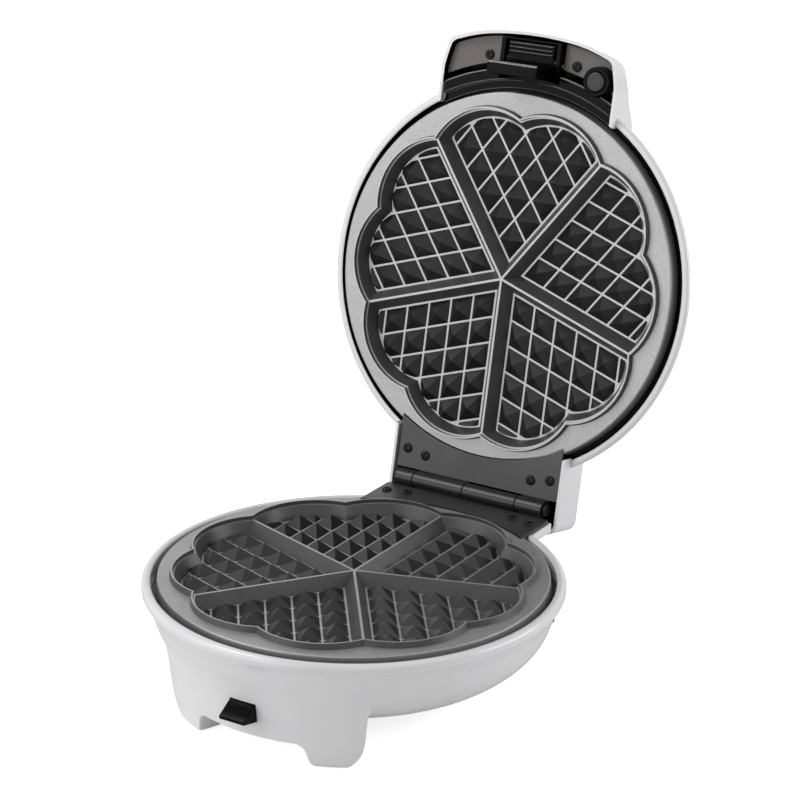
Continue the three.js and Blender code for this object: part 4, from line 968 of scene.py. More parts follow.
    def shell(self) -> Form:
        """Bowl and apron as one skin, column by column round the axis.

        Returns:
            The closed skin.
        """
        half_turn = round(180 / self.coarse_step)
        coarse = [self.coarse_step * i for i in range(-half_turn, half_turn)]
        fine = [sign * (self.fine_start + self.fine_step * i)
                for sign in (-1, 1) for i in range(self.fine_count)]
        near, far = self.coarse_gap
        turns = sorted({round(t, 2) for t in coarse if not near < abs(t) < far} | {round(t, 2) for t in fine})
        rim, floor = self.rim_rows(), self.floor_rows()
        count = len(self.apron_rows(0.0))
        bare = self.bowl_rows(count)
        points: list[Spot] = []
        for turn in turns:
            share = 1 - eased(abs(turn), self.side_start, self.side_end)
            skin = bare
            if share > 0:
                skin = [
                    (r0 + (r1 - r0) * share, z0 + (z1 - z0) * share)
                    for (r0, z0), (r1, z1) in zip(bare, self.apron_rows(turn))
                ]
            side, front = math.sin(math.radians(turn)), -math.cos(math.radians(turn))
            points += [(r * side, r * front, z) for r, z in (*rim, *skin, *floor)]
        rows, total = len(rim) + count + len(floor), len(turns)
        faces = [
            (i * rows + j, (i + 1) % total * rows + j,
             (i + 1) % total * rows + (j + 1) % rows, i * rows + (j + 1) % rows)
            for i in range(total) for j in range(rows)
        ]
        return Form(points, faces)

    def bracket(self) -> Form:
        """Shelf under the hinge, hollow neck and two hollow legs behind the bowl.

        Returns:
            The bracket, cut to fit round the bowl.
        """
        half, neck, wall = self.shelf_half, self.neck_half, self.neck_wall
        front, rear = self.neck_span
        mirror = Matrix.Diagonal((-1, 1, 1, 1))
        shelf = Form.box(-half, half, front, rear, *self.shelf_height).rounded(0.8)
        body = Form.box(-neck, neck, front, rear, *self.neck_height).rounded(1.5)
        right = Form.sideways(self.leg, self.leg_near, half).rounded(1.6)
        legs = beside_each_other([right, right.moved(mirror)])
        inside = Form.box(-neck + wall, neck - wall, self.neck_open, rear - wall, *self.neck_hollow)
        gap = Form.sideways(self.leg_hollow, self.leg_near + wall, half - wall)
        gaps = beside_each_other([gap, gap.moved(mirror)])
        half_wall = SIZES.wall / 2
        skin = beside(smoothed(self.bowl_corners[1:], 2), -half_wall)
        core = Form.turned([*self.core_top, *skin, self.core_low], 120)
        gland = Form.cone(0, 0, -4, 8, self.gland_radius, self.gland_radius).moved(
            Matrix.Translation(self.gland_place) @ Matrix.Rotation(-math.pi / 2, 4, "X"))
        return joined([shelf, body, legs]) - joined([inside, gaps]) - core - gland

    def build(self) -> None:
        """Joins the shell and the bracket, cuts their openings and places the piece."""
        button = Form.box(*self.button_room).rounded(0.5) + Form.box(*self.stem_room)
        whole = (self.shell() + self.bracket()) - Form.box(*self.hinge_room) - button
        dressed("base_shell_moulding", whole, Half.BASE, [WHITE_ABS], "base", ["base_shell"])


@dataclass
class LidShell:
    """Dome with a hollow handle at the front and a hollow tail round the hinge."""

    height: float = 45.5
    dome_corners: tuple[Flat, ...] = (
        (105.3, 9.4), (103.6, 12.2), (101.4, 15.9), (97.9, 24.1), (95.7, 28.2), (92.5, 32.3), (87.4, 36.4),
        (79.5, 39.8), (66.3, 42.5), (48.4, 44.2), (25.3, 45.2), (0.0, 45.5))
    handle_half: float = 51.6
    handle_corner: float = 118.4
    handle_front: float = 128.9
    handle_low: float = 3.0
    side_draft: float = 0.036
    front_draft: float = 0.2
    bow: tuple[Flat, ...] = ((0.93, 0.2), (0.8, 0.48), (0.6, 0.75), (0.33, 0.93), (0.0, 1.0))
    handle_top: tuple[Flat, ...] = (
        (-131.0, 10.9), (-129.0, 11.5), (-118.4, 15.0), (-100.6, 19.5), (-87.2, 27.0), (-52.0, 27.0))
    tail_half: float = 51.6
    tail_rear: float = 127.8
    tail_round: float = 6.0
    tail_height: float = 23.5
    rim_roll: tuple[Flat, ...] = ((103.2, 7.0), (104.2, 7.12), (104.9, 7.5), (105.3, 8.2))
    rim_inside: tuple[Flat, ...] = ((102.4, 7.08), (101.6, 7.35), (101.0, 7.8))
    core_low: tuple[Flat, ...] = ((0.0, -3.0), (100.7, -3.0), (100.7, 9.0), (103.0, 12.3))
    band_room: Span = (-49.6, 49.6, -112, -52, -5, 20)
    tail_low: float = 0.8
    lamp_place: Flat = (8.0, -76.0)
    lamp_radius: float = 3.5
    edge_round: float = 2.4
    hollow_round: float = 1.0
    post_radius: float = 3.6
    leaf_post: Flat = (4.9, 22.5)
    cover_post: Flat = (9.1, 15.2)
    root: float = 52.65
    straight_start: float = -80.0
    straight_step: float = 3.5
    straight_count: int = 8
    # Where the inside of the rim, handle and tail is painted black as shade.
    painted_shade_from: float = 7.3
    painted_shade_lip: float = 1.1
    painted_shade_handle_y: float = -98.0

    def dome(self) -> Form:
        """Wall of the dome with its rolled rim and the ledge that holds the pan.

        Returns:
            The dome's form.
        """
        outside = [*self.rim_roll, *smoothed(self.dome_corners, 4)]
        outside = [(min(r, SIZES.rim), z) for r, z in outside]
        inside = beside(smoothed([c for c in self.dome_corners if c[1] > 15], 3), SIZES.wall)
        inside = [(max(r, 0.0), z) for r, z in inside]
        inside[-1] = (0.0, self.height - SIZES.wall)
        ledge = [*self.rim_inside, (SIZES.rim_inner, 8.5), (SIZES.rim_inner, SIZES.ledge_depth),
                 (SIZES.ledge, SIZES.ledge_depth), (SIZES.ledge, SIZES.ledge_depth + SIZES.ledge_thick)]
        return Form.turned([*outside, *inside[::-1], *ledge[::-1]])

    def dome_core(self) -> Form:
        """The dome filled in, which handle and tail are kept out of.

        Returns:
            The filled form.
        """
        skin = [(r - 0.6, z - 0.3) for r, z in smoothed(self.dome_corners[2:], 2)]
        return Form.turned([*self.core_low, *((max(r, 0.0), z) for r, z in skin)], 96)

    def handle_plan(self, height: float, inset: float) -> list[Flat]:
        """Right half of the handle's plan, from its root to the middle of its front.

        Args:
            height: Height of the plan.
            inset: How far it is drawn in.

        Returns:
            The points.
        """
        rise = height - self.handle_low
        half = self.handle_half + self.side_draft * rise - inset
        corner = self.handle_corner - self.front_draft * rise - inset
        front = self.handle_front - self.front_draft * rise - inset
        turn = front - corner
        right = [(half, -corner + turn), (half - turn / 6, -corner + turn / 4)]
        right += [(half * across, -corner - turn * up) for across, up in self.bow]
        curve = smoothed([*right, (-half * self.bow[-2][0], -corner - turn * self.bow[-2][1])], 6)[:-6]
        straight = [(half, self.straight_start - self.straight_step * i) for i in range(self.straight_count)]
        return [(half, -self.root), *straight, *curve]

    def handle_level(self, y: float) -> float:
        """Height of the handle's upper surface.

        Args:
            y: Place along Y.

        Returns:
            The height.
        """
        curve = smoothed(self.handle_top, 5)
        for (y0, z0), (y1, z1) in zip(curve, curve[1:]):
            if y0 <= y <= y1:
                return z0 + (z1 - z0) * (y - y0) / (y1 - y0)
        return curve[0][1] if y < curve[0][0] else curve[-1][1]

    def tail_plan(self, height: float, inset: float) -> list[Flat]:
        """Right half of the tail's plan, from its root to the middle of its rear.

        Args:
            height: Height of the plan.
            inset: How far it is drawn in.

        Returns:
            The points.
        """
        half = self.tail_half + self.side_draft * height - inset
        rear, turn = self.tail_rear - inset, self.tail_round - inset
        corner = arc(half - turn, rear - turn, turn, 0, 90, 6)
        return [(half, self.root), (half, 90.0), *corner, (0.0, rear)]

    def zone(self, face: bpy.types.MeshPolygon) -> int:
        """1 for the inside of the rim, handle and tail, painted black as shade, 0 for the outside.

        Args:
            face: A face in the shut frame.

        Returns:
            The finish's number.
        """
        x, y, z = face.center
        skin = SIZES.edge_wall - 0.2
        ledge_top = SIZES.ledge_depth + SIZES.ledge_thick + 0.1
        if math.hypot(x, y) < SIZES.rim_inner + self.painted_shade_lip and self.painted_shade_from < z < ledge_top:
            return 1
        if y > -self.painted_shade_handle_y and 0.9 < z < self.tail_height - skin:
            return int(abs(x) < self.tail_half - skin + self.side_draft * z and y < self.tail_rear - skin)
        if y > self.painted_shade_handle_y or not self.handle_low + 0.05 < z < self.handle_level(y) - skin:
            return 0
        plan = self.handle_plan(z, skin)
        return int(any(min(a[0], b[0]) <= abs(x) <= max(a[0], b[0]) and y > min(a[1], b[1]) - 0.05
                       for a, b in zip(plan[self.straight_count:], plan[self.straight_count + 1:])))

    def build(self) -> None:
        """Joins the parts of the lid, cuts the room for the band and places the piece."""
        core, gap = self.dome_core(), SIZES.clearance
        handle = block(self.handle_plan, self.handle_level, self.handle_low - 6, self.edge_round)
        handle = handle - Form.box(-70, 70, -140, 0, -9, self.handle_low)
        hollow = block(lambda height, inset: self.handle_plan(height, inset + SIZES.edge_wall),
                       lambda y: self.handle_level(y) - SIZES.edge_wall, -4.0, self.hollow_round)
        tail = block(self.tail_plan, lambda y: self.tail_height, -4.0, self.edge_round)
        tail = tail - Form.box(-70, 70, 0, 140, -9, self.tail_low)
        tail_hollow = block(lambda height, inset: self.tail_plan(height, inset + SIZES.edge_wall),
                            lambda y: self.tail_height - SIZES.edge_wall, -3.0, self.hollow_round)
        near, far, top = SIZES.band_inner - gap, SIZES.band_outer + gap, SIZES.cover_top + gap
        ring = Form.turned([(near, -3.0), (far, -3.0), (far, top), (near, top)])
        room = ring & Form.box(*self.band_room)
        (lamp_x, lamp_y), lamp, post = self.lamp_place, self.lamp_radius, self.post_radius
        lamps = beside_each_other([Form.cone(side * lamp_x, lamp_y, 25, 50, lamp, lamp) for side in (-1, 1)])
        handle = (handle - hollow) - core
        tail = (tail - tail_hollow) - core
        posts = [Form.cone(x, y, *self.leaf_post, post, post, 24) for x, y in HingeLeaf.screw_places()]
        cover_x, cover_y = HandleParts.screw_place
        posts += [Form.cone(side * cover_x, cover_y, *self.cover_post, post, post, 24) for side in (-1, 1)]
        whole = joined([self.dome(), handle, tail, *posts]) - room - lamps
        # Finish 1 paints the inside of the rim, handle and tail black as shade.
        dressed("lid_shell_moulding", whole, Half.LID, [WHITE_ABS, BLACK_ABS], "lid",
                ["lid_shell"], self.zone)


@dataclass
class HeartPlate:
    """Cast plate with five heart pockets. It is built for the lid and mirrored for the base."""

    lobe_circle: float = 54.0
    lobe_spread: float = 18.0
    lip_inner: float = 36.0
    lip_outer: float = 36.75
    lip_foot: float = 37.75
    wall_draft: float = 4.2
    lip_height: float = 3.0
    depth: float = 8.6
    crest_depth: float = 2.1
    crest_half: float = 0.6
    divider_foot: float = 4.9
    ring: float = 97.5
    skirt_depth: float = 9.2
    floor_wall: float = 2.4
    grid_offset: float = 5.42
    grid_pitch: float = 13.12
    line_width: float = 1.05
    pyramid_height: float = 5.0
    half_heart: float = 36.0
    hearts: int = 5
    facets: int = 96
    ring_thick: float = 3.4
    ring_round: float = 0.9
    skirt_wall: float = 3.0
    overrun: float = 1.5
    trim_half: float = 48.7
    trim_radius: float = 94.7
    lug_half: float = 6.0
    lug_span: Flat = (-85.3, -82.9)
    level_normal: float = 0.95
    steep_normal: float = 0.62
    skirt_normal: float = 0.6

    def lobes(self, z0: float, z1: float, low: float, high: float) -> Form:
        """The two round lobes of the heart at +Y with the middle of the plate.

        Args:
            z0: Lower height.
            z1: Upper height.
            low: Lobe radius at the lower height.
            high: Lobe radius at the upper height.

        Returns:
            The lobes as one form.
        """
        cones = [Form.cone(*polar(self.lobe_circle, side * self.lobe_spread), z0, z1, low, high, self.facets)
                 for side in (-1, 1)]
        middle = Form.cone(0, 0, z0, z1, self.lobe_circle, self.lobe_circle, 48)
        return joined([*cones, middle])

    def wedge(self, margin: float) -> list[Flat]:
        """Triangle between the two dividers beside the heart at +Y, drawn in by a margin.

        Args:
            margin: How far its sides stand off the dividers' middles.

        Returns:
            Its three corners.
        """
        tip = margin / math.sin(math.radians(self.half_heart))
        reach = [polar(200, side * self.half_heart) for side in (1, -1)]
        return [(0, tip), *((x, y + tip) for x, y in reach)]

    def pocket(self) -> Form:
        """One pocket: two drafted lobes between two sloping dividers.

        Returns:
            What the pocket takes out of the plate.
        """
        over = self.overrun
        round_form = self.lobes(-over, self.depth, self.lip_inner + self.wall_draft / self.depth * over,
                                self.lip_inner - self.wall_draft)
        slope = (self.divider_foot - self.crest_half) / (self.depth - self.crest_depth)
        top = self.crest_half - slope * (self.crest_depth + over)
        wedge = Form.lofted([
            [(x, y, -over) for x, y in self.wedge(top)],
            [(x, y, self.depth) for x, y in self.wedge(self.divider_foot)]])
        return round_form & wedge

    def pyramids(self) -> Form:
        """Rhombic pyramids on the floor of one heart, kept off its round wall by one line.

        Returns:
            The pyramids of one heart as one form.
        """
        slant = math.sin(math.radians(2 * self.half_heart))
        step, start = self.grid_pitch / slant, self.grid_offset / slant
        half = (self.grid_pitch - self.line_width) / slant / 2
        root, tip = self.depth + self.floor_wall / 2, self.depth - self.pyramid_height
        ax, ay = polar(1, self.half_heart)
        bx, by = polar(1, -self.half_heart)
        cells = []
        count = math.ceil((self.ring - start) / step)
        for i in range(count):
            for j in range(count):
                a, b = start + (i + 0.5) * step, start + (j + 0.5) * step
                spot = (a * ax + b * bx, a * ay + b * by)
                if math.hypot(*spot) > self.lobe_circle + self.lip_inner:
                    continue
                corners = [((a + u) * ax + (b + v) * bx, (a + u) * ay + (b + v) * by)
                           for u, v in ((-half, -half), (half, -half), (half, half), (-half, half))]
                points = [(*c, root) for c in corners] + [(*c, self.depth) for c in corners] + [(*spot, tip)]
                sides = [(k, (k + 1) % 4, 4 + (k + 1) % 4, 4 + k) for k in range(4)]
                slopes = [(4 + k, 4 + (k + 1) % 4, 8) for k in range(4)]
                cells.append(Form(points, [(3, 2, 1, 0), *sides, *slopes]))
        edge = self.lip_inner - self.wall_draft - self.line_width
        return beside_each_other(cells) & self.lobes(tip - self.overrun, root + self.overrun, edge, edge)

    def casting(self) -> Form:
        """The whole plate with its lip at height 0 and its back above.

        Returns:
            The casting's form.
        """
        under, skirt, wall = self.lip_height + self.ring_thick, SIZES.plate_skirt, self.skirt_wall
        floor = self.lobe_circle + self.lip_inner
        back = self.depth + self.floor_wall
        rounding = self.ring_round
        edge = arc(self.ring - rounding, self.lip_height + rounding, rounding, -90, 0, 4)
        ring = Form.turned([
            (0, self.lip_height), *edge, (skirt, self.skirt_depth), (skirt - wall, self.skirt_depth),
            (skirt - wall, under), (floor, under), (floor - self.floor_wall, back), (0, back)])
        angles = [2 * self.half_heart * k + self.half_heart for k in range(self.hearts)]
        lip = self.lobes(0, self.lip_height + 0.8, self.lip_outer, self.lip_foot)
        crest = self.lobes(-self.overrun, self.crest_depth, self.lip_inner, self.lip_inner)
        pocket, pyramids = self.pocket(), self.pyramids()
        whole = joined([ring, *(lip.spun(angle) for angle in angles)])
        whole = whole - joined([crest.spun(angle) for angle in angles])
        whole = whole - joined([pocket.spun(angle) for angle in angles])
        whole = whole + beside_each_other([pyramids.spun(angle) for angle in angles])
        kept = Form.cone(0, 0, 0, 12.2, self.trim_radius, self.trim_radius, 192)
        trim = Form.box(-self.trim_half, self.trim_half, 0, 99.8, 1.5, 10.7) - kept
        lug = Form.box(-self.lug_half, self.lug_half, *self.lug_span, back - self.floor_wall, back + 8)
        return (whole - trim) + lug

    def zone(self, face: bpy.types.MeshPolygon) -> int:
        """0 ring, 1 pyramids, 2 skirt, 3 level lines, 4 back, 5 steep walls; apart from the back, these are
        the ring's coating with light and shade painted in by the way each face turns.

        Args:
            face: A face in the shut frame.

        Returns:
            The finish's number.
        """
        height = abs(face.center.z) - SIZES.plate_gap
        looks_back = face.normal.z * face.center.z > 0.5
        if height > self.depth + 0.2 or (height > self.lip_height + 0.2 and looks_back):
            return 4
        if math.hypot(face.center.x, face.center.y) > self.lobe_circle + self.lip_foot:
            return 0 if abs(face.normal.z) > self.skirt_normal else 2
        if abs(face.normal.z) < self.level_normal:
            return 5 if abs(face.normal.z) < self.steep_normal else 1
        return 0 if abs(height - self.lip_height) < 0.3 else 3

    def build(self) -> None:
        """Places the casting in the lid, and its mirror image in the base."""
        casting = self.casting()
        # Apart from the back, these finishes are one coating in painted light and shade.
        finishes = [NONSTICK_FACE, NONSTICK_SLOPE_SHADE, NONSTICK_SKIRT_SHADE, NONSTICK_LINE_HIGHLIGHT, CAST_BACK, NONSTICK_WALL_LIGHT_AND_SHADE]
        upper = casting.at(0, 0, SIZES.plate_gap)
        lower = upper.moved(Matrix.Diagonal((1, 1, -1, 1)))
        dressed("upper_plate_casting", upper, Half.LID, finishes, "upper_plate",
                ["upper_plate"], self.zone)
        dressed("lower_plate_casting", lower, Half.BASE, finishes, "lower_plate",
                ["lower_plate"], self.zone)


@dataclass
class Screw:
    """Pan-head screw with a cross recess, head up, underside of the head at height 0."""

    head: float = 2.7
    head_height: float = 0.9
    shank: float = 1.3
    length: float = 6.0
    recess_width: float = 0.8
    recess_reach: float = 1.95
    recess_depth: float = 0.75
    tip: float = 0.3
    tip_length: float = 1.2
    dome: tuple[Flat, ...] = ((0.0, 1.0), (0.35, 0.99), (0.65, 0.92), (0.85, 0.75), (0.96, 0.42), (1.0, 0.0))

    def form(self) -> Form:
        """Domed head, shank with a drawn-in tip and the recess.

        Returns:
            The screw, with finish 1, the painted shade, on the faces of its recess.
        """
        dome = [(across * self.head, up * self.head_height) for across, up in self.dome]
        body = Form.turned([
            *dome, (self.shank, 0.0), (self.shank, -self.length + self.tip_length), (self.tip, -self.length),
            (0.0, -self.length)], 40)
        side, reach, low = self.recess_width / 2, self.recess_reach, self.head_height - self.recess_depth
        made = body - Form.box(-side, side, -reach, reach, low, 3)
        made = made - Form.box(-reach, reach, -side, side, low, 3)
        for face in made.mesh.polygons:
            x, y, z = face.center
            upright = abs(face.normal.z) < 0.2 and z > 0.05
            floor = abs(z - low) < 0.02
            face.material_index = int(max(abs(x), abs(y)) < reach + 0.05 and (upright or floor))
        return made

    def build(self, name: str, node: str, half: Half, body: str, x: float, y: float, z: float,
              points_up: bool, turn: float) -> None:
        """Places one screw.

        Args:
            name: Piece name.
            node: CAD node that it stands for.
            half: Half of the machine.
            body: CAD body.
            x: Place.
            y: Place.
            z: Height of the underside of its head.
            points_up: Whether its head looks down.
            turn: Angle of its recess in degrees.
        """
        place = Matrix.Translation((x, y, z)) @ Matrix.Rotation(math.radians(turn), 4, "Z")
        if points_up:
            place = place @ Matrix.Rotation(math.pi, 4, "X")
        # The second finish is painted shade in the cross recess.
        finishes = [BLACKENED_STEEL, RECESS_SHADE_STEEL]
        dressed(name, self.form().moved(place), half, finishes, body, [node])


@dataclass
class Coil:
    """Spring wound from round wire."""

    radius: float
    wire: float
    length: float
    turns: float
    steps_per_turn: int = 24
    sides: int = 8

    def form(self) -> Form:
        """The wire along +Z from height 0.

        Returns:
            The coil's form.
        """
        steps, sides = int(self.turns * self.steps_per_turn), self.sides
        rise = self.length - 2 * self.wire
        rings = []
        for i in range(steps + 1):
            t = 2 * math.pi * self.turns * i / steps
            z = self.wire + rise * i / steps
            out, up = Vector((math.cos(t), math.sin(t), 0)), Vector((0, 0, z))
            ring = [out * self.radius + self.wire * (out * math.cos(a) + Vector((0, 0, math.sin(a)))) + up
                    for a in (2 * math.pi * k / sides for k in range(sides))]
            rings.append([tuple(p) for p in ring])
        return Form.lofted(rings)


@dataclass
class HingeLeaf:
    """Pressed leaf with two rolled knuckles, screwed to one of the shells."""

    thickness: float = 2.0
    rear: float = 109.9
    room: float = 95.3
    pin_room: float = 2.4
    knuckle_shares: tuple[float, ...] = (-0.939, -0.714, -0.082, 0.571, 0.898)
    knuckle_gap: float = 0.15
    hole: float = 1.6
    pin_radius: float = 2.1
    pin_head: float = 3.4
    pin_head_length: float = 1.6
    pin_gap: float = 0.3

    @staticmethod
    def screw_places() -> list[Flat]:
        """Places of the four screws of a leaf."""
        return [(-43.6, 99.6), (-32.3, 101.6), (32.3, 101.6), (43.6, 99.6)]

    def knuckles(self, first: int) -> list[Flat]:
        """Spans along the pin that belong to a leaf.

        Args:
            first: Number of the leaf's first knuckle.

        Returns:
            Start and end of each span.
        """
        ends = [share * SIZES.leaf_half for share in self.knuckle_shares]
        gap = self.knuckle_gap
        return [(ends[i] + gap, ends[i + 1] - gap) for i in range(first, len(ends) - 1, 2)]

    def form(self, first: int, low: float, high: float) -> Form:
        """The leaf between two heights, with its knuckles.

        Args:
            first: Number of the leaf's first knuckle.
            low: Lower height.
            high: Upper height.

        Returns:
            The leaf's form.
        """
        flat = Form.box(-SIZES.leaf_half, SIZES.leaf_half, 60, self.rear, low, high)
        flat = (flat - Form.cone(0, 0, low - 1, high + 1, self.room, self.room, 192)).rounded(0.35, 2)
        spans = self.knuckles(first)
        tongues = [Form.box(x0, x1, self.rear - 1.5, SIZES.hinge_y, low, high) for x0, x1 in spans]
        barrels = [Form.rod(x0, x1, SIZES.hinge_y, 0, SIZES.barrel, 64).rounded(0.4, 2, 60)
                   for x0, x1 in spans]
        bore = Form.rod(-60, 60, SIZES.hinge_y, 0, self.pin_room, 32)
        holes = beside_each_other([
            Form.cone(x, y, low - 1, high + 1, self.hole, self.hole, 24) for x, y in self.screw_places()])
        return (flat - holes) + (beside_each_other([t + b for t, b in zip(tongues, barrels)]) - bore)

    def zone(self, face: bpy.types.MeshPolygon) -> int:
        """1 for the rolled knuckles, 0 for the flat."""
        return 1 if face.center.y > self.rear + 0.3 else 0

    def pin(self) -> Form:
        """The pin with two upset heads.

        Returns:
            The pin's form.
        """
        ends = [share * SIZES.leaf_half for share in (self.knuckle_shares[0], self.knuckle_shares[-1])]
        x0, x1 = ends[0] - self.pin_gap, ends[1] + self.pin_gap
        y, length, middle = SIZES.hinge_y, self.pin_head_length, self.pin_head_length / 2
        heads = [Form.rod(a, b, y, 0, self.pin_head).rounded(0.5, 3, 60)
                 for a, b in ((x0 - length, x0), (x1, x1 + length))]
        return joined([Form.rod(x0 - middle, x1 + middle, y, 0, self.pin_radius), *heads])

    def build(self) -> None:
        """Places both leaves, the pin and the eight screws."""
        offset = SIZES.barrel - self.thickness
        finishes = [COATED_STEEL, ROLLED_STEEL]
        dressed("hinge_leaf_base_pressing", self.form(0, -SIZES.barrel, -offset), Half.BASE, finishes, "base",
                ["lower_hinge_leaf"], self.zone)
        dressed("hinge_leaf_lid_pressing", self.form(1, offset, SIZES.barrel), Half.LID, finishes, "lid",
                ["upper_hinge_leaf"], self.zone)
        dressed("hinge_pin_drawn", self.pin(), Half.BASE, [BLACKENED_STEEL], "base",
                ["hinge_pin"])
        screw = Screw()
        for i, (x, y) in enumerate(self.screw_places(), 1):
            screw.build(f"hinge_screw_base_{i}", f"lower_hinge_screw_{i}", Half.BASE, "base", x, y,
                        -offset + SIZES.clearance, False, 25 * i)
            screw.build(f"hinge_screw_lid_{i}", f"upper_hinge_screw_{i}", Half.LID, "lid", x, y,
                        offset - SIZES.clearance, True, 40 + 31 * i)


@dataclass
class HandleParts:
    """What sits in the handle: stepped band, two covers, their screws and the round button."""

    band_step: float = 4.2
    band_low: float = 7.0
    band_high: float = 4.4
    band_thick: float = 2.0
    cover_low: float = 6.8
    cover_gap: float = 3.4
    screw_place: Flat = (25.8, -114.6)
    hole: float = 1.6
    rings: tuple[Flat, ...] = (
        (0.0, 0.15), (1.6, 0.12), (1.7, 0.3), (1.9, 0.3), (2.0, 0.1), (3.1, 0.04), (3.2, 0.22), (3.4, 0.22),
        (3.5, 0.02))
    button_radius: float = 5.0
    button_face: float = -0.4
    button_length: float = 8.0
    band_reach: Span = (-49.3, 49.3, -112, -52, -1, 12)
    spring_height: float = 7.9

    def band(self) -> Form:
        """Stepped ring segment with rounded steps.

        Returns:
            The band's form.
        """
        step = SIZES.band_inner + self.band_step
        low, high, thick, rear = self.band_low, self.band_high, self.band_thick, SIZES.cover_top
        inner, outer = SIZES.band_inner, SIZES.band_outer
        outline = [
            (inner, low + 0.4), (inner + 0.4, low), (step - 0.3, low), (step, low - 0.3),
            (step + 0.25, high + 0.5), (step + 0.8, high), (outer - 0.8, high), (outer - 0.25, high + 0.25),
            (outer, high + 0.8), (outer, rear), (outer - thick, rear), (outer - thick, high + thick),
            (step, high + thick), (step - 0.3, low + thick), (inner, low + thick)]
        ring = Form.turned(outline, 288)
        kept = ring & Form.box(*self.band_reach)
        half, room = SIZES.latch_room_half + SIZES.clearance, SIZES.round_housing + SIZES.clearance
        kept = kept - Form.box(-half, half, -112, -inner - self.band_step + SIZES.clearance, -2, 14)
        return kept - Form.cone(SIZES.round_button_x, SIZES.round_button_y, -1, 12, room, room)

    @staticmethod
    def band_zone(face: bpy.types.MeshPolygon) -> int:
        """1 for the rounded edges of the band's steps, which get a painted highlight, 0 for the rest."""
        return int(-0.93 < face.normal.z < -0.35)

    def cover(self, shell: LidShell, side: int) -> Form:
        """Cover plate on one side of the latch, with a recess for its screw.

        Args:
            shell: The lid, whose handle it fits.
            side: -1 for left, 1 for right.

        Returns:
            The cover's form.
        """
        inset, room = SIZES.edge_wall + SIZES.clearance, SIZES.round_housing + SIZES.clearance
        half_plan = shell.handle_plan(self.cover_low, inset)
        plan = [*half_plan, *[(-x, y) for x, y in half_plan[-2::-1]]]
        plate = Form.upright(plan, self.cover_low, SIZES.cover_top)
        near = SIZES.latch_room_half + 0.6
        keep = Form.box(near, 60, -131, -60, 0, 12) if side > 0 else Form.box(-60, -near, -131, -60, 0, 12)
        edge = SIZES.band_outer + self.cover_gap
        inner = Form.cone(0, 0, 0, 12, edge, edge, 288)
        plate = (plate & keep) - inner
        if side > 0:
            plate = plate - Form.cone(SIZES.round_button_x, SIZES.round_button_y, 0, 12, room, room)
        hole = Form.cone(side * self.screw_place[0], self.screw_place[1], 0, 12, self.hole, self.hole, 24)
        return plate.rounded(0.3, 2) - hole

    def button(self) -> Form:
        """Round button with a dished face and two fine rings.

        Returns:
            The button's form.
        """
        radius, face, top = self.button_radius, self.button_face, self.button_face + self.button_length
        outline = [*((across, face + deep) for across, deep in self.rings), (radius - 0.8, face),
                   (radius - 0.3, face + 0.2), (radius, face + 0.8), (radius, top), (0.0, top)]
        return Form.turned(outline, 64).at(SIZES.round_button_x, SIZES.round_button_y, 0)

    def housing(self) -> Form:
        """Sleeve round the button.

        Returns:
            The sleeve's form.
        """
        low, inner, outer = 0.8, self.button_radius + SIZES.clearance, SIZES.round_housing
        outline = [(inner, low + 0.3), (inner + 0.3, low), (outer - 0.5, low), (outer, low + 0.5),
                   (outer, SIZES.cover_top), (inner, SIZES.cover_top)]
        return Form.turned(outline, 64).at(SIZES.round_button_x, SIZES.round_button_y, 0)

    def build(self, shell: LidShell) -> None:
        """Places the band, covers, screws, button, housing and spring.

        Args:
            shell: The lid, whose handle the covers fit.
        """
        # Finish 1 is a painted highlight on the rounded edges of the band's steps.
        dressed("handle_band_moulding", self.band(), Half.LID, [BLACK_ABS, EDGE_HIGHLIGHT_ABS], "lid",
                ["lid_front_band"], self.band_zone)
        for side, name in ((-1, "left"), (1, "right")):
            plate = self.cover(shell, side)
            dressed(f"handle_cover_{name}_moulding", plate, Half.LID, [TAUPE_ABS], "lid",
                    [f"handle_cover_{name}"])
        screw = Screw()
        for i, side in enumerate((-1, 1), 1):
            screw.build(f"cover_screw_{i}", f"handle_cover_screw_{i}", Half.LID, "lid",
                        side * self.screw_place[0], self.screw_place[1], self.cover_low - SIZES.clearance,
                        True, 20 + 35 * i)
        dressed("round_button_moulding", self.button(), Half.LID, [GREY_ABS], "lid_button",
                ["lid_release_button"])
        dressed("round_housing_moulding", self.housing(), Half.LID, [BLACK_ABS], "lid",
                ["lid_button_housing"])
        coil = Coil(radius=2.1, wire=0.4, length=3.2, turns=3)
        spring = coil.form().at(SIZES.round_button_x, SIZES.round_button_y, self.spring_height)
        dressed("round_button_spring", spring, Half.LID, [DRAWN_STEEL], "lid_button",
                ["lid_release_spring"])


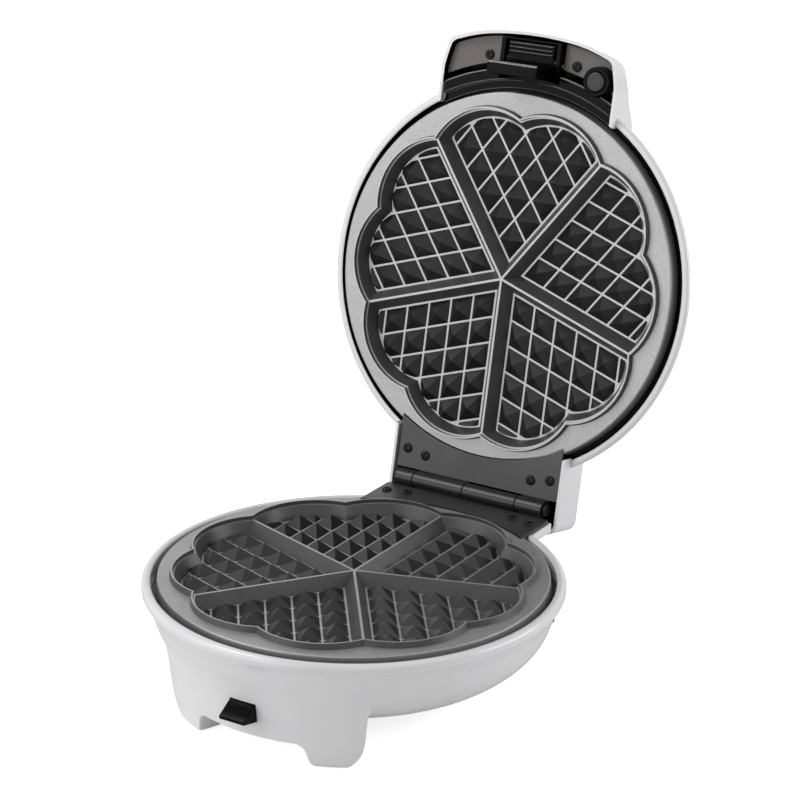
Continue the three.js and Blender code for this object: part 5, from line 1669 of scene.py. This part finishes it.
@dataclass
class Latch:
    """Rocker with a ribbed thumb piece and a long hook, in a housing with two ears."""

    thumb_half: float = 13.5
    thumb_front: float = -123.4
    thumb_low: float = 3.6
    thumb_high: float = 8.0
    rib_count: int = 3
    rib_height: float = 1.0
    half: float = 14.5
    hook_front: float = -112.9
    hook_rear: float = -106.3
    hook_drop: float = -15.6
    nose: float = 3.4
    wall: float = 2.6
    rail_front: float = -125.3
    rail_rear: float = -124.4
    rail_low: float = 2.6
    hub: float = 3.4
    bore: float = 1.8
    pin: float = 1.5
    pin_half: float = 18.0
    spring_half: float = 4.8
    spring_room: float = 3.0

    def lever(self) -> Form:
        """The rocker with its ribs and hook.

        Returns:
            The rocker's form.
        """
        y, z = SIZES.latch_pin_y, SIZES.latch_pin_height
        half = self.thumb_half
        thumb = Form.box(-half, half, self.thumb_front, y, self.thumb_low, self.thumb_high).rounded(0.5)
        pitch = (-self.thumb_front + y - self.hub) / self.rib_count
        ribs = []
        for i in range(self.rib_count):
            middle = self.thumb_front + pitch * (i + 0.5)
            ribs.append(Form.box(
                -self.thumb_half + 0.7, self.thumb_half - 0.7, middle - pitch / 4, middle + pitch / 4,
                self.thumb_low - self.rib_height, self.thumb_low + self.rib_height).rounded(0.25, 2))
        hub = Form.rod(-self.half, self.half, y, z, self.hub).rounded(0.4, 2, 60)
        front, rear, drop, nose, wall = self.hook_front, self.hook_rear, self.hook_drop, self.nose, self.wall
        outline = [(front, drop + nose / 4), (front + nose / 4, drop), (rear, drop), (rear, drop + nose),
                   (front + wall, drop + nose), (front + wall, z), (front, z)]
        hook = Form.sideways(outline, -self.half, self.half).rounded(0.5)
        cheek = [(front, drop + nose / 2), (rear, drop + nose / 2), (rear, 4.4), (front, z)]
        cheeks = [Form.sideways(cheek, x, x + wall).rounded(0.4) for x in (-self.half, self.half - wall)]
        whole = joined([thumb, *ribs, hub, hook, *cheeks])
        spring = Form.rod(-self.spring_half, self.spring_half, y, z, self.spring_room)
        return whole - Form.rod(-17, 17, y, z, self.bore) - spring

    def zone(self, face: bpy.types.MeshPolygon) -> int:
        """1 for the raised edges that look to the handle's front, which get a painted highlight, 0 for the
        rest.
        """
        return 1 if face.normal.y < -0.35 and face.normal.z < -0.3 and abs(face.normal.x) < 0.4 else 0

    def housing(self) -> Form:
        """Two ears joined by a rail in front of the thumb piece.

        Returns:
            The housing's form.
        """
        front, low, middle, ear_rear, ear_top = self.rail_front, self.rail_low, 7.3, -108.0, 12.0
        ear_front = SIZES.latch_pin_y - self.wall
        ear = [(front, low), (ear_rear, low), (ear_rear, ear_top), (ear_front, ear_top), (front, middle)]
        outer = SIZES.latch_room_half
        ears = [Form.sideways(ear, x, x + self.wall).rounded(0.5) for x in (-outer, outer - self.wall)]
        rail = Form.box(-outer, outer, front, self.rail_rear, low, middle).rounded(0.25, 2)
        return joined([*ears, rail]) - Form.rod(-20, 20, SIZES.latch_pin_y, SIZES.latch_pin_height, self.bore)

    def build(self) -> None:
        """Places the lever, its spring, the housing and the pin."""
        y, z = SIZES.latch_pin_y, SIZES.latch_pin_height
        # Finish 1 is a painted highlight on the lever's raised edges.
        dressed("latch_lever_moulding", self.lever(), Half.LID, [BLACK_GRIP, EDGE_HIGHLIGHT_ABS], "latch",
                ["latch_lever"], self.zone)
        dressed("latch_housing_moulding", self.housing(), Half.LID, [BLACK_ABS], "lid",
                ["latch_housing"])
        pin = Form.rod(-self.pin_half, self.pin_half, y, z, self.pin, 32).rounded(0.3, 2, 60)
        dressed("latch_pin_drawn", pin, Half.LID, [DRAWN_STEEL], "lid", ["latch_pin"])
        coil = Coil(radius=2.35, wire=0.35, length=9.0, turns=7)
        start = Matrix.Translation((-coil.length / 2, y, z))
        spring = coil.form().moved(start @ Matrix.Rotation(math.pi / 2, 4, "Y"))
        dressed("latch_spring_wound", spring, Half.LID, [DRAWN_STEEL], "latch",
                ["latch_spring"])


@dataclass
class FrontButton:
    """Wedge-shaped release button in the apron, with its stem, catch and spring."""

    half: float = 7.25
    face: float = -96.56
    proud: float = 9.2
    top: float = -33.8
    height: float = 9.4
    sink: float = 6.0
    stem_half: float = 4.5
    stem_up: float = 3.0
    post_span: Flat = (-82.6, -80.4)
    post_top: float = -15.4
    spring_start: float = -80.1

    def form(self) -> Form:
        """Wedge, stem and catch.

        Returns:
            The button's form.
        """
        front, top, height, proud = self.face, self.top, self.height, self.proud
        outline = [
            (front + self.sink, top), (front, top), (front - proud, top - 0.58 * height),
            (front - proud, top - 0.76 * height), (front, top - height), (front + self.sink, top - height)]
        wedge = Form.sideways(outline, -self.half, self.half).rounded(0.55)
        middle, half = top - height / 2, self.stem_half
        stem = Form.box(-half, half, front, self.post_span[1], middle - self.stem_up, middle + self.stem_up)
        post = Form.box(-half, half, *self.post_span, middle, self.post_top)
        return joined([wedge, stem, post])

    def build(self) -> None:
        """Places the button and its spring."""
        form = self.form()
        dressed("front_button_moulding", form, Half.BASE, [BLACK_ABS], "front_button",
                ["front_release_button"])
        coil = Coil(radius=2.2, wire=0.4, length=9.0, turns=6)
        start = Matrix.Translation((0, self.spring_start, self.top - self.height / 2))
        spring = coil.form().moved(start @ Matrix.Rotation(-math.pi / 2, 4, "X"))
        dressed("front_button_spring", spring, Half.BASE, [DRAWN_STEEL], "front_button",
                ["front_release_spring"])


@dataclass
class InnerParts:
    """Parts that keep their CAD solids: pans, heaters, controls, cover, feet, gland and lamps."""

    cover_circle: float = 52.5
    cover_face: float = -54.8

    def build(self) -> None:
        """Dresses the CAD solids and places the screws of the bottom cover."""
        finishes = {
            "bottom_cover": BLACK_GRIP, "lower_reflector": LOWER_PAN, "upper_reflector": UPPER_PAN,
            "lower_heater": DRAWN_STEEL, "upper_heater": DRAWN_STEEL, "thermostat": STEATITE,
            "thermal_fuse": STEATITE, "terminal_block": STEATITE, "cord_gland": RUBBER,
            "front_foot_left": RUBBER, "front_foot_right": RUBBER,
            "rear_foot_left": RUBBER, "rear_foot_right": RUBBER,
            "power_lamp": RED_LENS, "ready_lamp": GREEN_LENS,
        }
        for node, finish in finishes.items():
            refinished(node, finish, 60.0 if "heater" in node else 30.0)
        reach = self.cover_circle * math.sqrt(0.5)
        places = [(reach, reach), (-reach, reach), (-reach, -reach), (reach, -reach)]
        for i, (x, y) in enumerate(places, 1):
            Screw().build(f"cover_bottom_screw_{i}", f"bottom_cover_screw_{i}", Half.BASE, "base", x, y,
                          self.cover_face - SIZES.clearance, True, 33 * i)


@dataclass(frozen=True)
class Softbox:
    """A lamp: direction from the machine, distance, width and height in metres, and brightness.

    A brightness of 1 is white.
    """

    toward: Spot
    distance: float
    width: float
    height: float
    radiance: float


@dataclass
class Studio:
    """Floor, world, lamps and the camera at the photograph's angle."""

    floor_half: float = 6.0
    floor_grey: str = "#f2f2f2"
    camera_place: Spot = (0.63697, -1.03409, 0.58159)
    camera_back: Spot = (0.4937, -0.7991, 0.3431)
    camera_right: Spot = (0.8507, 0.5256, 0.0)
    camera_up: Spot = (-0.1803, 0.2919, 0.9393)
    camera_roll: float = 0.61
    lens: float = 116.51
    sensor: float = 36.0
    floor_lift: float = 0.78
    ambient: float = 0.27
    middle: Spot = (0, 0, 0.13)
    key: Softbox = Softbox((-0.494, -0.87, 0.06), 1.3, 1.3, 1.3, 1.75)
    top: Softbox = Softbox((-0.494, -0.343, 0.8), 1.3, 0.45, 0.45, 9.6)
    side: Softbox = Softbox((1.0, 0.55, 0.15), 1.6, 1.2, 1.4, 3.4)

    def floor(self) -> None:
        """White floor that keeps the shadow and is lifted to white only for what looks at it."""
        half = self.floor_half
        mesh = bpy.data.meshes.new("floor")
        corners = [(-half, -half, 0), (half, -half, 0), (half, half, 0), (-half, half, 0)]
        mesh.from_pydata(corners, [], [(0, 1, 2, 3)])
        made = bpy.data.objects.new("floor", mesh)
        bpy.context.scene.collection.objects.link(made)
        paint = bpy.data.materials.new("matt_paper_sweep")
        paint.use_nodes = True
        tree = paint.node_tree
        tree.nodes.clear()
        paper = add_node(tree, "ShaderNodeBsdfDiffuse", inputs={"Color": linear(self.floor_grey)})
        path = add_node(tree, "ShaderNodeLightPath")
        lift = add_node(tree, "ShaderNodeMath", {"operation": "MULTIPLY"}, {
            0: path.outputs["Is Camera Ray"], 1: self.floor_lift})
        glow = add_node(tree, "ShaderNodeEmission", inputs={"Strength": lift.outputs[0]})
        both = add_node(tree, "ShaderNodeAddShader", inputs={0: paper.outputs[0], 1: glow.outputs[0]})
        add_node(tree, "ShaderNodeOutputMaterial", inputs={"Surface": both.outputs[0]})
        mesh.materials.append(paint)

    def world(self) -> None:
        """White to the camera and in reflections, plain grey light otherwise."""
        sky = bpy.data.worlds.new("studio")
        sky.use_nodes = True
        tree = sky.node_tree
        tree.nodes.clear()
        path = add_node(tree, "ShaderNodeLightPath")
        seen = path.outputs["Is Camera Ray"]
        for ray in ("Is Glossy Ray", "Is Transmission Ray"):
            seen = add_node(tree, "ShaderNodeMath", {"operation": "MAXIMUM"}, {
                0: seen, 1: path.outputs[ray]}).outputs[0]
        strength = add_node(tree, "ShaderNodeMapRange", {"clamp": True}, {
            0: seen, 1: 0.0, 2: 1.0, 3: self.ambient, 4: 1.0})
        back = add_node(tree, "ShaderNodeBackground", inputs={"Strength": strength.outputs[0]})
        back.inputs["Color"].default_value = (1, 1, 1, 1)
        add_node(tree, "ShaderNodeOutputWorld", inputs={"Surface": back.outputs[0]})
        bpy.context.scene.world = sky

    def lamp(self, name: str, box: Softbox) -> None:
        """Hangs a softbox that looks at the machine.

        Args:
            name: Lamp name.
            box: Its place, size and brightness.
        """
        light = bpy.data.lights.new(name, "AREA")
        light.shape, light.size, light.size_y = "RECTANGLE", box.width, box.height
        light.energy = box.radiance * math.pi * box.width * box.height
        made = bpy.data.objects.new(name, light)
        bpy.context.scene.collection.objects.link(made)
        direction = Vector(box.toward).normalized()
        made.location = Vector(self.middle) + direction * box.distance
        made.rotation_mode = "QUATERNION"
        made.rotation_quaternion = direction.to_track_quat("Z", "Y")
        made.visible_camera = False

    def camera(self) -> None:
        """Camera fitted to both circles, the plates' pattern and the hinge line."""
        data = bpy.data.cameras.new("camera")
        data.lens, data.sensor_width = self.lens, self.sensor
        made = bpy.data.objects.new("camera", data)
        bpy.context.scene.collection.objects.link(made)
        roll = math.radians(self.camera_roll)
        right, up = Vector(self.camera_right), Vector(self.camera_up)
        across = right * math.cos(roll) + up * math.sin(roll)
        above = up * math.cos(roll) - right * math.sin(roll)
        axes = Matrix([across, above, Vector(self.camera_back)]).transposed().to_4x4()
        made.matrix_world = Matrix.Translation(self.camera_place) @ axes
        bpy.context.scene.camera = made

    def build(self) -> None:
        """Sets the whole studio up."""
        self.floor()
        self.world()
        self.lamp("key_softbox", self.key)
        self.lamp("top_softbox", self.top)
        self.lamp("side_softbox", self.side)
        self.camera()
        settings = bpy.context.scene.view_settings
        settings.view_transform = "Standard"


def main() -> None:
    """Builds every sub-assembly in order."""
    logging.basicConfig(level=logging.INFO, format="%(name)s %(message)s")
    Studio().build()
    BaseShell().build()
    lid = LidShell()
    lid.build()
    HeartPlate().build()
    HingeLeaf().build()
    HandleParts().build(lid)
    Latch().build()
    FrontButton().build()
    InnerParts().build()


if __name__ == "__main__":
    main()
